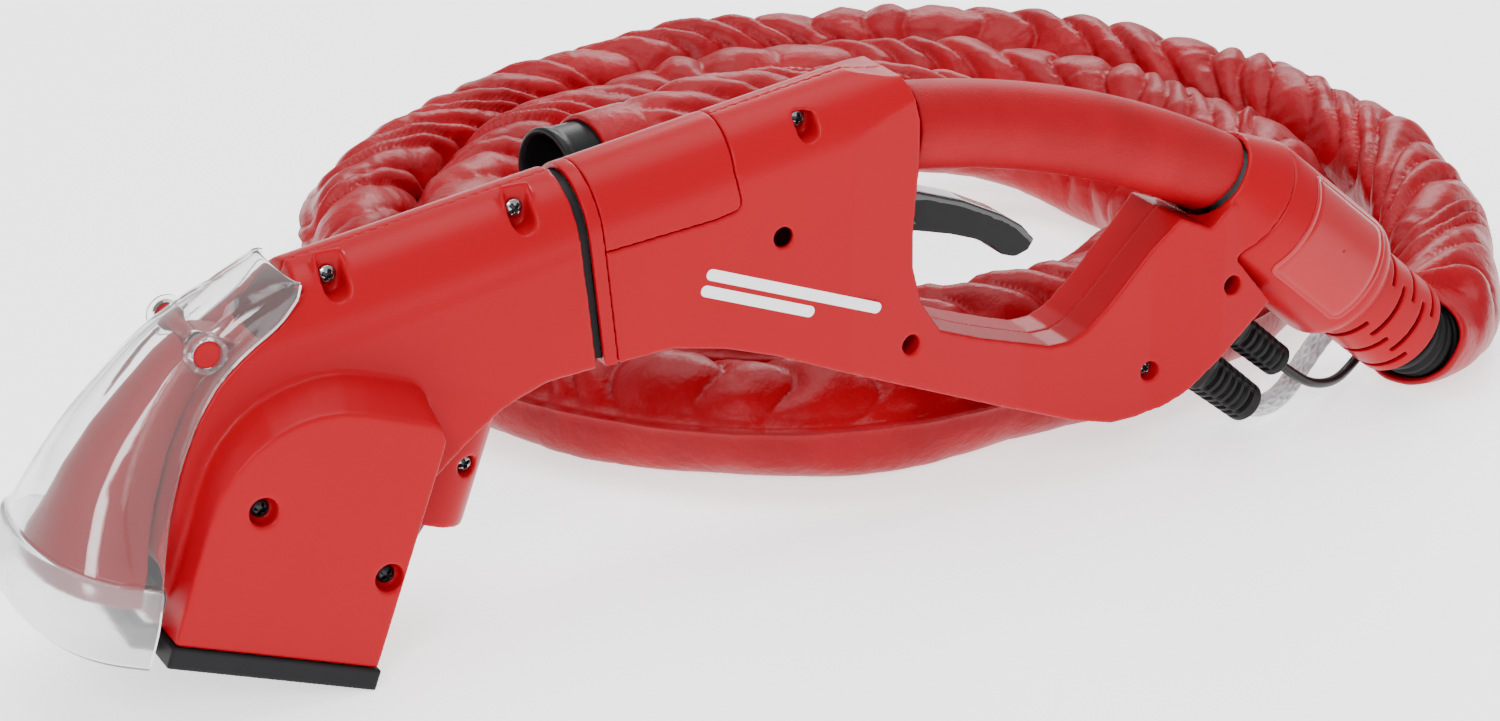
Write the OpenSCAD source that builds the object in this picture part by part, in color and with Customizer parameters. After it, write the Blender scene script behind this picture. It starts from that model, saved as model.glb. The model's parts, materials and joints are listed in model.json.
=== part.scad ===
// Motorised upholstery hand tool with a sleeved vacuum hose, in the stance in which it rests on a floor.
// Frame: +X from the head to the tail, +Z up, the tool's mid-plane is Y = 0, the floor is Z = 0.
// Outlines are drawn with X = 0 at the head's rear bottom edge; place() then centres the tool on X.

/* [Body] */
// Half width of the body shells
body_half_w = 22.5; // [20:0.5:25]
// Wall of the moulded shells
wall = 2.4; // [2:0.1:3]
// Rise of the top line towards the tail, degrees
top_slope = 9.2; // [8:0.1:10]
// Height of the top line above the head's rear edge
top_z = 150.5; // [148:0.5:152]

/* [Head] */
// Nose-up tilt of the head in the rest stance, degrees
head_tilt = 20; // [18:0.5:21]
// Half width across the two side housings
bump_half_w = 45; // [42:1:48]
// Half width of the nozzle lip
lip_half_w = 50; // [46:1:52]
// Wall of the clear nozzle cover
cover_wall = 2.6; // [2:0.1:3]
// Height of the rubber bumper
bumper_h = 8; // [6:0.5:9]

/* [Handle] */
// Radius of the arc that the grip follows
grip_arc_r = 374; // [372:1:376]
// Radius of the grip
grip_r = 17; // [16:0.5:18]

/* [Tail] */
// Slope of the tail below the horizontal, degrees
tail_drop = 40; // [39:0.5:41]
// Outer radius of the rear barrel
barrel_r = 28; // [27:0.5:28.5]
// Outer radius of the slotted swivel cuff
cuff_r = 21.5; // [21:0.5:22]
// Outer radius of the corrugated hose
hose_r = 17; // [16:0.5:17]

/* [Hose sleeve] */
// Radius of the fabric sleeve over the hose
sleeve_r = 21; // [20:0.5:21]
// Bore radius of the cuff that plugs onto the machine
machine_bore_r = 18.5; // [17:0.5:19]

/* [Hidden] */
$fn = 64;

gap = 0.3;                       // seam between neighbouring mouldings
fit = 0.05;                      // radial running clearance
far = 400;                       // larger than anything it cuts
red = "#d2232a";
black = "#1c1c1e";
steel = "#b9bcc2";

tail_origin = [450, 0, 56];      // centre of the barrel's open end
cuff_len = 41;
cuff_end = tail_origin + cuff_len * [cos(tail_drop), 0, -sin(tail_drop)];

// ---------- frames ----------
module place() translate([-mid_x, 0, 0]) children();
module head_frame() rotate([0, head_tilt, 0]) children();
module tail_frame() translate(tail_origin) rotate([0, tail_drop, 0]) children();

// A side view outline drawn in X and Z, given a thickness from Y = y0 to y1
module side(y0, y1) translate([0, y1, 0]) rotate([90, 0, 0]) linear_extrude(y1 - y0) children();
// A cylinder along Y from y0 to y1, centred at p in X and Z
module rod_y(p, r, y0, y1) translate([p[0], y1, p[1]]) rotate([90, 0, 0]) cylinder(r = r, h = y1 - y0);
// A cylinder along the tail axis from s0 to s1
module rod_s(r, s0, s1) translate([s0, 0, 0]) rotate([0, 90, 0]) cylinder(r = r, h = s1 - s0);

// A point of the head's own frame, in the stance frame
function from_head(p) = [
    p[0] * cos(head_tilt) + p[1] * sin(head_tilt),
    p[1] * cos(head_tilt) - p[0] * sin(head_tilt)
];
function from_tail(s, n) = [
    tail_origin[0] + s * cos(tail_drop) + n * sin(tail_drop),
    tail_origin[2] - s * sin(tail_drop) + n * cos(tail_drop)
];

// Rear edge, front edge and half width of the clear cover at heights above the bumper's underside
nozzle_stations = [
    [0, -88, -123, 1], [6, -88, -127, 1], [14, -88, -129.5, 0.99], [24, -88, -129, 0.93],
    [36, -88, -127, 0.78], [50, -88, -124.5, 0.66], [66, -87, -119.5, 0.58], [82, -84.5, -112, 0.52],
    [96, -80, -105, 0.48], [108, -72.5, -96.5, 0.46], [119, -63.5, -85.5, 0.45], [129, -59.5, -74, 0.44],
    [135, -59.5, -66, 0.42]
];
lip_front_x = min([for (s = nozzle_stations) from_head([s[2], s[0]])[0]]);
mid_x = (lip_front_x + cuff_end[0] + cuff_r * sin(tail_drop)) / 2;

// ---------- sweeps ----------
function unit(v) = v / norm(v);
// Tangent of a route at point i
function tangent(route, i) =
    unit(route[min(i + 1, len(route) - 1)] - route[max(i - 1, 0)]);
// Ring of n points round route point i, with a flat side down
function ring(route, i, r, n, first, last) =
    let (
        t = i == 0 && first != undef ? unit(first)
            : i == len(route) - 1 && last != undef ? unit(last) : tangent(route, i),
        side = unit(cross(t, [0, 0, 1])),
        up = cross(side, t)
    )
    [for (k = [0:n - 1]) let (a = 360 * (k + 0.5) / n) route[i] + r * (sin(a) * side - cos(a) * up)];
// A plain tube of n sides along a route; first and last set the end directions
module sweep(route, r, n, first = undef, last = undef) {
    count = len(route);
    points = [for (i = [0:count - 1]) each ring(route, i, r / cos(180 / n), n, first, last)];
    walls = [
        for (i = [0:count - 2], k = [0:n - 1])
            [i * n + k, i * n + (k + 1) % n, (i + 1) * n + (k + 1) % n, (i + 1) * n + k]
    ];
    triangles = [for (q = walls) each [[q[0], q[1], q[2]], [q[0], q[2], q[3]]]];
    caps = [[for (k = [n - 1:-1:0]) k], [for (k = [0:n - 1]) (count - 1) * n + k]];
    polyhedron(points, concat(triangles, caps), convexity = 10);
}

// ---------- body outlines ----------
// Top line of head and body: a straight rise, then a crown that drops to the grip
crown_x = 212;
function top_at(x) = top_z + x * tan(top_slope);
seam_bottom_x = 108.5;
seam_top_x = 99;
// Position of the seam at height z
function seam_x(z) = seam_bottom_x - (z - 95) * (seam_bottom_x - seam_top_x) / 95;

module body_outline() {
    polygon(concat(
        [[seam_top_x, 190], [226, 190], [231, 180], [235, 166], [235, 150], [232.5, 122], [233, 108]],
        [[237, 93], [246, 80], [265, 72.5], [285, 66], [298, 62], [307, 62], [315, 65.5], [325, 74]],
        [[345, 95], [356, 105.5], from_tail(-90, -18.5), from_tail(-90, -12), from_tail(-89, -6)],
        [from_tail(-71, -6), from_tail(-71, -22), from_tail(-44, -27), [362, 30.5], [352, 25.5], [341, 23], [329, 22.5]],
        [[310, 27.5], [278, 40], [217, 66], [173, 85], [152, 92], [130, 96.5], [seam_bottom_x, 95]]
    ));
}
// Plan view: the lower bar is slimmer than the body
module plan_outline(inset = 0) {
    offset(delta = -inset) polygon([
        [-40, -body_half_w], [205, -body_half_w], [285, -16], [345, -16], [375, -21], [460, -21],
        [460, 21], [375, 21], [345, 16], [285, 16], [205, body_half_w], [-40, body_half_w]
    ]);
}
// Loaf section that rounds the top: a half circle on sides that open out downwards
module loaf(inset = 0, x0 = -60, x1 = 300) {
    r = body_half_w - inset;
    rotate([0, -top_slope, 0])
        translate([x0, 0, top_z * cos(top_slope) - body_half_w])
            rotate([90, 0, 90]) {
                linear_extrude(x1 - x0) intersection() {
                    circle(r);
                    translate([-r, -1]) square([2 * r, 2 * r]);
                }
                linear_extrude(x1 - x0)
                    polygon([
                        [-r - 9, -220], [-r - 9, -60], [-r, -0.5], [r, -0.5], [r + 9, -60], [r + 9, -220]
                    ]);
            }
}
module crown(inset = 0) {
    // flat-topped block under the crown, which cuts the loaf level from crown_x to the tail
    side(-far, far) offset(delta = -inset)
        polygon([[-200, -60], [600, -60], [600, 180], [226, top_at(crown_x) - 2], [crown_x, top_at(crown_x)],
            [-200, top_at(crown_x)]]);
}
// Solid outer form of the body, drawn smaller by inset
module body_form(inset = 0) {
    intersection() {
        side(-far, far) offset(delta = -inset) body_outline();
        translate([0, 0, -50]) linear_extrude(350) plan_outline(inset);
        union() {
            loaf(inset);
            translate([236, -far, -50]) cube([300, 2 * far, 250]);
        }
        crown(inset);
    }
}
// Round socket between grip and barrel
module socket_form(inset = 0) tail_frame() {
    translate([-90, 0, 0]) rotate([0, 90, 0])
        cylinder(r1 = 20 - inset, r2 = barrel_r - 0.5 - inset, h = 20);
}
// Torus segment that the grip and its tube follow; angles are from the vertical
grip_centre = [204.4, -214.7];
module grip_arc(r, a0, a1)
    translate([grip_centre[0], 0, grip_centre[1]]) rotate([90, 0, 0]) rotate([0, 0, 90 - a1])
        rotate_extrude(angle = a1 - a0, $fn = 180) translate([grip_arc_r, 0]) circle(r);

// ---------- fasteners ----------
side_screws = [[232.5, 77], [345.5, 42], [380, 74]];    // screws of the body's near side
top_screw = [187, 172.5];                               // screw in the oval recess
head_top_screws = [[3, 145], [74, 157]];                // screws in the head's U recesses
post_screw = [50.5, 64];                                // screw through the spray post
bump_holes = [[-61, 60], [-7, 42]];                     // holes of the side housings, head frame
bump_seat_y = -39;                                      // floor of those holes
boss_r = 5.5;
screw_head_r = 3.3;
screw_head_h = 2.4;
shank_r = 1.5;

// Pan-head screw along Y whose head's top is at y
module screw(p, y, length = 14) {
    rod_y(p, screw_head_r, y, y + screw_head_h);
    rod_y(p, shank_r, y + screw_head_h, y + length);
}
// Counterbore and shank hole from the near side, for a screw whose seat is at y
module screw_hole(p, y, r = screw_head_r + 0.6) {
    rod_y(p, r, -far, y);
    rod_y(p, shank_r + 0.2, y - 1, 0.5);
}
module pilot_hole(p) rod_y(p, shank_r + fit, -0.5, 12);
// U-shaped recess in the curved top, flat at the top and round below
module top_recess(p, y, w = 8.5, h = 10) {
    side(-far, y) union() {
        translate([p[0] + 0.8, p[1] - 3]) circle(w / 2);
        translate([p[0] + 0.8 - w / 2, p[1] - 3]) square([w, h]);
    }
}

// ---------- body shells ----------
panel_x1 = 157;
mouth_half_w = 19;               // half width of the opening between head and body
module panel_outline(grow = 0) offset(delta = grow) offset(r = 3) offset(delta = -3)
    polygon([
        [90, 137.5], [148, 143.5], [panel_x1 + 2, 146], [panel_x1 - 1, 160], [panel_x1, 200], [90, 200]
    ]);
module body_boss(p, y0, y1) rod_y(p, boss_r, y0, y1);

module body_shell(near) {
    y0 = near ? -far : 0;
    y1 = near ? 0 : far;
    difference() {
        union() {
            difference() {
                union() {
                    body_form();
                    socket_form();
                }
                body_form(wall);
                socket_form(wall);
                // open throat between the strut and the socket
                side(-12, 12) polygon([[362, 84], [384, 84], [396, 104], [378, 108]]);
                panel_cut();
            }
            intersection() {
                body_form();
                union() {
                    for (p = side_screws) body_boss(p, -30, 30);
                    body_boss(top_screw, -30, 30);
                    rod_y(trigger_pivot, 5, -30, -9);
                    rod_y(trigger_pivot, 5, 9, 30);
                }
            }
        }
        // half
        translate([-far, near ? 0 : -2 * far, -far]) cube([4 * far, 2 * far, 3 * far]);
        // rear wall: throat for the grip tube and slot for the trigger
        grip_arc(grip_tube_r + gap, -3, 34);
        side(-9, 9) polygon([[226, 109], [250, 109], [250, 142], [226, 142]]);
        rod_y(trigger_pivot, trigger_pin_r + 0.03, -trigger_pin_end - 0.1, trigger_pin_end + 0.1);
        tail_frame() rod_s(barrel_r + 0.2, -70, 60);
        relief_cut();
        duct_solid(duct_r + 0.3, seam_top_x - 20, 213);
        // mouth for the tube and the wires
        side(-mouth_half_w, mouth_half_w) polygon([[90, 101], [125, 101], [125, 128], [90, 122]]);
        if (near) {
            for (p = side_screws) screw_hole(p, -10);
            top_recess(top_screw, -10, 8, 6);
            screw_hole(top_screw, -10);
            rod_y([176, 131.5], 3.9, -far, -body_half_w + wall + 1);
        } else {
            for (p = side_screws) pilot_hole(p);
            pilot_hole(top_screw);
        }
    }
}
module panel_cut() side(-far, far) panel_outline(gap);
module body_shell_near() color(red) place() body_shell(true);
module body_shell_far() color(red) place() body_shell(false);
module top_cover() color(red) place() difference() {
    intersection() {
        body_form();
        side(-far, far) panel_outline();
    }
    body_form(wall);
    duct_solid(duct_r + 0.3, seam_top_x - 20, 213);
}

// ---------- joint between head and body ----------
// Slab across the neck from d0 to d1 in front of the body's seam
module neck_slab(d0, d1) side(-far, far) polygon([
    [seam_x(190) - d1, 190], [seam_x(190) - d0, 190], [seam_x(80) - d0, 80], [seam_x(80) - d1, 80]
]);
module neck_form(inset) intersection() {
    loaf(inset);
    translate([0, 0, -50]) linear_extrude(350) plan_outline(inset);
    side(-far, far) polygon([[60, 95 + inset], [140, 95 + inset], [140, 200], [60, 200]]);
}
collar_w = 5.5;
groove_w = 3.5;
module front_collar() color(red) place() intersection() {
    neck_slab(gap, collar_w);
    difference() {
        neck_form(0);
        neck_form(wall);
    }
}
module joint_seal() color(black) place() intersection() {
    neck_slab(collar_w + 0.05, collar_w + groove_w - 0.05);
    difference() {
        neck_form(2.6);
        neck_form(5);
    }
}

// ---------- suction path ----------
duct_r = 14.5;
duct_depth = 25.5;               // depth of the duct's centre below the top line
module duct_solid(r, x0, x1)
    translate([0, 0, top_z - duct_depth])
        rotate([0, 90 - top_slope, 0])
            translate([0, 0, x0 / cos(top_slope)])
        cylinder(r = r, h = (x1 - x0) / cos(top_slope));
module suction_duct() color("#8d9095") place() difference() {
    duct_solid(duct_r, 2, 206);
    duct_solid(duct_r - 2, -10, 220);
}
grip_tube_r = 13.8;
module grip_tube() color("#8d9095") place() difference() {
    grip_arc(grip_tube_r, 1.2, 30.5);
    grip_arc(grip_tube_r - 2, 0, 32);
}
module grip_sleeve() color("#c41f28") place() difference() {
    grip_arc(grip_r, 5, 33);
    grip_arc(grip_tube_r + 0.1, 3, 34);
    tail_frame() translate([-90.6, -far, -far]) cube([far, 2 * far, 2 * far]);
}

// ---------- head ----------
nozzle_arc_steps = 14;
// Half section of the cover at station s, drawn smaller by inset: front arc from -Y to +Y
function nozzle_arc(s, inset) = [
    for (i = [0:nozzle_arc_steps])
        let (
            a = -90 + 180 * i / nozzle_arc_steps,
            w = lip_half_w * s[3] - inset,
            depth = max(s[1] - s[2] - inset, 1)
        )
        [s[1] - depth * pow(max(cos(a), 0), 0.6), w * sign(a) * pow(abs(sin(a)), 0.9), s[0]]
];
// Closed skin between an outer and an inner arc at every station
module nozzle_skin(stations, outer, inner) {
    n = nozzle_arc_steps + 1;
    m = 2 * n;
    rows = len(stations);
    points = [
        for (s = stations) each concat(nozzle_arc(s, outer), [for (i = [n - 1:-1:0]) nozzle_arc(s, inner)[i]])
    ];
    walls = [
        for (j = [0:rows - 2], k = [0:m - 1])
            each let (a = j * m + k, b = j * m + (k + 1) % m) [[a, b, b + m], [a, b + m, a + m]]
    ];
    caps = [
        for (i = [0:n - 2])
            each let (a = i, b = i + 1, c = m - 2 - i, d = m - 1 - i, t = (rows - 1) * m)
                [[a, c, b], [a, d, c], [t + a, t + b, t + c], [t + a, t + c, t + d]]
    ];
    polyhedron(points, [for (f = concat(walls, caps)) [f[2], f[1], f[0]]], convexity = 10);
}
module nozzle_cover() color("#dfe6ea", 0.4) place() head_frame() difference() {
    nozzle_skin(nozzle_stations, 0, cover_wall);
    rod_y(cover_pin_at, cover_pin_head_r + 0.2, -far, far);
}
// Red core behind the clear cover: it leaves the suction slot between itself and the cover
core_gap = 7;
module nozzle_core() color(red) place() head_frame() {
    stations = [for (s = nozzle_stations) if (s[0] >= 14 && s[0] <= 108) s];
    n = nozzle_arc_steps + 1;
    rows = len(stations);
    points = [for (s = stations) each nozzle_arc([s[0], s[1], s[2], s[3] * 0.84], cover_wall + core_gap)];
    walls = [
        for (j = [0:rows - 2], k = [0:n - 1])
            each let (a = j * n + k, b = j * n + (k + 1) % n) [[a, b + n, b], [a, a + n, b + n]]
    ];
    top = (rows - 1) * n;
    caps = [for (i = [1:n - 2]) each [[0, i, i + 1], [top, top + i + 1, top + i]]];
    difference() {
        translate([-0.3, 0, 0]) polyhedron(points, concat(walls, caps), convexity = 6);
        rod_y(cover_pin_at, cover_pin_r + fit, -far, far);
    }
}
cover_pin_at = [-86.5, 105];
cover_pin_r = 3;
cover_pin_head_r = 5;
// Cross pin that holds the clear cover to the core, with a head in a hole at each side
module cover_pin() color(red) place() head_frame() {
    rod_y(cover_pin_at, cover_pin_r, -22, 22);
    for (y = [-22.8, 17.3]) rod_y(cover_pin_at, cover_pin_head_r, y, y + 5.5);
}

// Side outline of the head, without the side housings
module head_outline() polygon(concat(
    [from_head([nozzle_stations[0][1] + gap, bumper_h + 0.3])],
    [for (s = nozzle_stations) if (s[0] > bumper_h + 1) from_head([s[1] + gap, s[0]])],
    [from_head([nozzle_stations[len(nozzle_stations) - 1][1] + gap, 145])],
    [[seam_top_x - collar_w - groove_w, 190], [seam_bottom_x - collar_w - groove_w, 95]],
    [[80, 93.5], [62, 87], [48, 78], [32, 66]],
    [for (p = [[-6, 62], [-6, bumper_h + 0.3]]) from_head(p)]
));
// Front view of the head in its own frame: wider at the bottom
module head_front(inset) offset(delta = -inset)
    polygon([[-29, -5], [-29, 58], [-23.5, 108], [-22.5, 220], [22.5, 220], [23.5, 108], [29, 58], [29, -5]]);
// Side housing: one outline at its face, a larger one at its root, joined by a drafted wall
bump_arc_steps = 8;
// Ring of the housing's outline at y: a wide arc at the front, a small one at the rear
function bump_ring(centre, r, rear_centre, rear_r, y, inset) = concat(
    [[centre[0] - r + inset, y, bumper_h]],
    [
        for (i = [0:bump_arc_steps]) let (a = 180 - 90 * i / bump_arc_steps)
            [centre[0] + (r - inset) * cos(a), y, centre[1] + (r - inset) * sin(a)]
    ],
    [
        for (i = [0:bump_arc_steps]) let (a = 90 - 90 * i / bump_arc_steps)
            [rear_centre[0] + (rear_r - inset) * cos(a), y, rear_centre[1] + (rear_r - inset) * sin(a)]
    ],
    [[rear_centre[0] + rear_r - inset, y, bumper_h]]
);
function bump_face(y, inset) = bump_ring([-34, 55], 45, [-9, 92], 8, y, inset);
function bump_root(y, inset) = bump_ring([-29, 58], 50, [-13, 96], 12, y, inset);
module bump_form(inset = 0) {
    face_y = bump_half_w - inset;
    rings = [
        bump_face(-face_y, inset), bump_root(-24, inset), bump_root(24, inset), bump_face(face_y, inset)
    ];
    n = len(rings[0]);
    points = [for (r = rings) each r];
    walls = [
        for (j = [0:2], k = [0:n - 1])
            each let (a = j * n + k, b = j * n + (k + 1) % n) [[a, b + n, b], [a, a + n, b + n]]
    ];
    caps = [for (i = [1:n - 2]) each [[0, i, i + 1], [3 * n, 3 * n + i + 1, 3 * n + i]]];
    polyhedron(points, concat(walls, caps), convexity = 4);
}
module head_core(inset = 0) intersection() {
    side(-far, far) offset(delta = -inset) head_outline();
    head_frame() translate([-far, 0, 0]) rotate([90, 0, 90]) linear_extrude(2 * far) head_front(inset);
    loaf(inset);
}
post_at = [19, 0];
post_r = 17.5;
post_bottom = 53;
module post_form(r, z0) head_frame() translate([post_at[0], 0, z0]) cylinder(r = r, h = 108 - z0);

module head_shell(near) {
    difference() {
        union() {
            difference() {
                union() {
                    head_core();
                    head_frame() bump_form();
                    post_form(post_r, post_bottom);
                }
                head_core(wall);
                head_frame() bump_form(wall);
                post_form(post_r - wall, post_bottom + wall);
                // open underside
                head_frame() translate([-88 + wall, -29 + wall, -1]) cube([87 - 2 * wall, 58 - 2 * wall, 20]);
                head_frame() translate([-79 + wall, -bump_half_w + wall, -1])
                    cube([78 - 2 * wall, 2 * (bump_half_w - wall), 20]);
            }
            intersection() {
                union() {
                    head_core();
                    post_form(post_r, post_bottom);
                    head_frame() bump_form();
                }
                union() {
                    for (p = head_top_screws) rod_y(p, boss_r, -30, 30);
                    rod_y(post_screw, boss_r, -30, 30);
                    head_frame() for (p = bump_holes) {
                        rod_y(p, 3.3, -60, 60);
                        rod_y(p, 6.5, -60, -36.5);
                    }
                    head_frame() rod_y(brush_pivot, 5.5, -60, -36.5);
                    head_frame() rod_y(brush_pivot, 5.5, 36.5, 60);
                }
            }
        }
        translate([-far, near ? 0 : -2 * far, -far]) cube([4 * far, 2 * far, 3 * far]);
        duct_solid(duct_r + 0.3, 1, 120);
        // throat from the nozzle into the duct, and the mouth to the body
        head_frame() translate([-92, -16, 112]) cube([60, 32, 19]);
        side(-mouth_half_w, mouth_half_w) polygon([[60, 101], [120, 101], [120, 128], [60, 122]]);
        head_frame() rod_y(brush_pivot, brush_pin_r + 0.03, -brush_pin_end - 0.2, brush_pin_end + 0.2);
        head_frame() translate([post_at[0], 0, post_bottom - 1]) cylinder(r = 6.2, h = 12);
        if (near) {
            for (p = head_top_screws) {
                top_recess(p, -9);
                screw_hole(p, -9);
            }
            screw_hole(post_screw, -11);
            head_frame() for (p = bump_holes) {
                rod_y(p, 5.2, -far, bump_seat_y);
                rod_y(p, shank_r + 0.2, bump_seat_y - 1, 0.5);
            }
        } else {
            for (p = head_top_screws) pilot_hole(p);
            pilot_hole(post_screw);
            head_frame() for (p = bump_holes) pilot_hole(p);
        }
    }
}
module head_shell_near() color(red) place() head_shell(true);
module head_shell_far() color(red) place() head_shell(false);

module bumper_plan() {
    translate([-80, -bump_half_w - 1]) square([80, 2 * bump_half_w + 2]);
    translate([-88.6, -30]) square([50, 60]);
}
module bumper() color(black) place() head_frame() linear_extrude(bumper_h) difference() {
    bumper_plan();
    offset(delta = -4.5) bumper_plan();
}

// ---------- brush and its drive ----------
brush_pivot = [-42, 24];
brush_pin_r = 2.5;
brush_pin_end = 41;              // half length of the brush pin
motor_axis = [-42, 66];
motor_r = 16;
axle_r = 1.6;
throw = 1.5;                      // offset of the eccentric
eccentric_r = 4;
module brush_block() color(black) place() head_frame() difference() {
    union() {
        translate([-74, -37, 9.5]) cube([64, 74, 5.5]);
        for (y = [-34.5, 29]) side(y, y + 5.5) hull() {
            translate(brush_pivot) circle(6);
            translate([-52, 12]) square([20, 1]);
        }
        side(29, 33) polygon([[-50, 24], [-34, 24], [-30, 50], [-30, 76], [-54, 76], [-54, 50]]);
    }
    rod_y(brush_pivot, brush_pin_r + fit, -60, 60);
    side(28, 40) polygon([[-49.5, 56], [-34.5, 56], [-34.5, 90], [-49.5, 90]]);
}
tuft_rows = 6;
tufts_a_row = 9;
module bristles() color("#b3121b") place() head_frame() {
    for (i = [0:tuft_rows - 1], j = [0:tufts_a_row - 1])
        translate([-71 + 11.6 * i, -34 + 8.5 * j, -2]) cylinder(r = 2, h = 11.5, $fn = 16);
}
module brush_pin() color(steel) place() head_frame()
    rod_y(brush_pivot, brush_pin_r, -brush_pin_end, brush_pin_end);
module motor_can() color(steel) place() head_frame() difference() {
    rod_y(motor_axis, motor_r, -25, 21);
    rod_y(motor_axis, motor_r - 1.4, -23.5, 19.5);
    rod_y(motor_axis, axle_r + fit, -40, 40);
}
module motor_rotor() color("#8a5a2b") place() head_frame() {
    rod_y(motor_axis, 12.5, -19, 15);
    rod_y(motor_axis, axle_r, -24, 35);
    rod_y(motor_axis + [0, throw], eccentric_r, 28, 34);
}
module motor_cradle() color(black) place() head_frame() difference() {
    translate([-55, -20, 44]) cube([29, 38, 13]);
    rod_y(motor_axis, motor_r + 0.2, -40, 40);
}

// ---------- liquid path ----------
spray_route = [
    [192, 6, 102.5], [178, 8, 101.5], [160, 8, 102], [130, 8, 105], [100, 8, 105], [80, 8, 101], [61, 5, 95],
    [48, 0, 84], [43, 0, 68], [40, 0, 57], [37, 0, 46]
];
module spray_tube() color("#d8d8d0") place() sweep(spray_route, 2.5, 8, [-1, 0, -0.1], [-0.342, 0, -0.94]);
module spray_tip() color(black) place() head_frame() difference() {
    translate([post_at[0], 0, 42.5]) cylinder(r1 = 3.5, r2 = 6, h = 10);
    translate([post_at[0], 0, 42]) cylinder(r = 1, h = 20);
}

solution_route = [
    [366, 4, 43], [357, 5, 50], [341, 5, 56], [320, 5, 51], [300, 5, 46], [276, 5, 53], [252, 5, 61],
    [234, 5, 66], [219, 4, 72.5], [208, 3, 77], [203, 2, 82], [202, 1, 84.8]
];
module solution_tube() color("#d8d8d0") place() sweep(solution_route, 2.4, 8);
wiring_route = [
    [382.5, -6, 57], [366, -7, 64], [341, -7, 61], [320, -7, 53], [300, -7, 47], [276, -7, 54], [252, -7, 62],
    [234, -7, 66.5], [214, -8, 76], [196, -8, 83], [184, -9, 86.5], [180, -9.5, 91]
];
module wiring() color("#2b2b2e") place() sweep(wiring_route, 2, 8);
module motor_switch() color(black) place() translate([166, -13, 93]) cube([20, 7, 11]);

// ---------- trigger and valve ----------
trigger_pivot = [216, 129];
trigger_pin_r = 2;
trigger_pin_end = 19.5;          // half length of the pivot pin
plunger_x = 200;
module trigger() color(black) place() difference() {
    union() {
        rod_y(trigger_pivot, 6.5, -7.5, 7.5);
        side(-7.5, 7.5) polygon([
            [216, 135.5], [242, 133], [262, 126], [280, 117], [289, 111], [294.5, 104.5], [292, 100.5],
            [286, 98.5], [280, 100.5], [275, 105], [268, 109], [257, 113], [242, 117], [216, 122.5]
        ]);
        side(-4, 4) polygon([[216, 123], [216, 134], [201, 128.5], [199, 124]]);
        rod_y([plunger_x, 125.5], 3, -4, 4);
    }
    rod_y(trigger_pivot, trigger_pin_r + fit, -far, far);
}
module trigger_pin() color(steel) place()
    rod_y(trigger_pivot, trigger_pin_r, -trigger_pin_end, trigger_pin_end);
valve_top = 112;
plunger_top = 122.4;
plunger_r = 3;
module valve_body() color("#3a3a3e") place() difference() {
    union() {
        translate([plunger_x, 0, 86]) cylinder(r = 8, h = valve_top - 86);
        translate([plunger_x - 10, -12, 92]) cube([20, 24, 6]);
    }
    translate([plunger_x, 0, 94]) cylinder(r = plunger_r + fit, h = 30);
}
module valve_plunger() color("#e4e0d2") place() {
    translate([plunger_x, 0, 98]) cylinder(r = plunger_r, h = plunger_top - 98);
    translate([plunger_x, 0, plunger_top - 2]) cylinder(r = 6, h = 2);
}
spring_turns = 3;
spring_steps = 12;
module valve_spring() color(steel) place() sweep([
    for (i = [0:spring_turns * spring_steps])
        let (a = 360 * i / spring_steps)
        [
            plunger_x + 4.6 * cos(a),
            4.6 * sin(a),
            valve_top + 0.7 + (plunger_top - 3.4 - valve_top) * i / (spring_turns * spring_steps)
        ]
], 0.5, 6);

module body_screws() color(steel) place() {
    for (p = side_screws) screw(p, -12.6);
    screw(top_screw, -12.6);
}
module head_screws() color(steel) place() {
    for (p = head_top_screws) screw(p, -11.6);
    screw(post_screw, -13.6);
}
module bump_screws() color(steel) place() head_frame() for (p = bump_holes) screw(p, bump_seat_y - 2.6, 48);

// ---------- tail ----------
barrel_len = 70;
module rear_barrel() color(red) place() tail_frame() difference() {
    union() {
        rod_s(barrel_r, -barrel_len, -4);
        translate([-4, 0, 0]) rotate([0, 90, 0]) cylinder(r1 = barrel_r, r2 = barrel_r - 4, h = 4);
        rod_s(barrel_r - 6.5, -barrel_len - 6, -barrel_len + 1);
    }
    rod_s(barrel_r - 8.5, -barrel_len - 20, -barrel_len + 4);
    rod_s(barrel_r - wall, -barrel_len + 3, -4);
    rod_s(cuff_r + fit, -10, 10);
}
module label_plate() color("#c9363c") place() tail_frame() translate([-56, 0, 0]) rotate([0, 90, 0])
    rotate([0, 0, 205])
        rotate_extrude(angle = 105, $fn = 120) translate([barrel_r + 0.05, 0]) square([0.4, 46]);
cuff_slots = [[7, 0, 130], [14, 90, 70], [21, 0, 130], [28, 90, 70], [34.5, 0, 130]];
module swivel_cuff() color(red) place() tail_frame() difference() {
    union() {
        rod_s(cuff_r, -7, cuff_len);
        rod_s(cuff_r + 2.6, -9, -4.6);
    }
    rod_s(cuff_r - 2.6, -20, cuff_len + 1);
    for (c = cuff_slots, k = [0, 180])
        translate([c[0], 0, 0]) rotate([0, 90, 0]) rotate([0, 0, c[1] + k - c[2] / 2])
            rotate_extrude(angle = c[2], $fn = 90) translate([cuff_r - 5, 0]) square([8, 2.2]);
}
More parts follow.
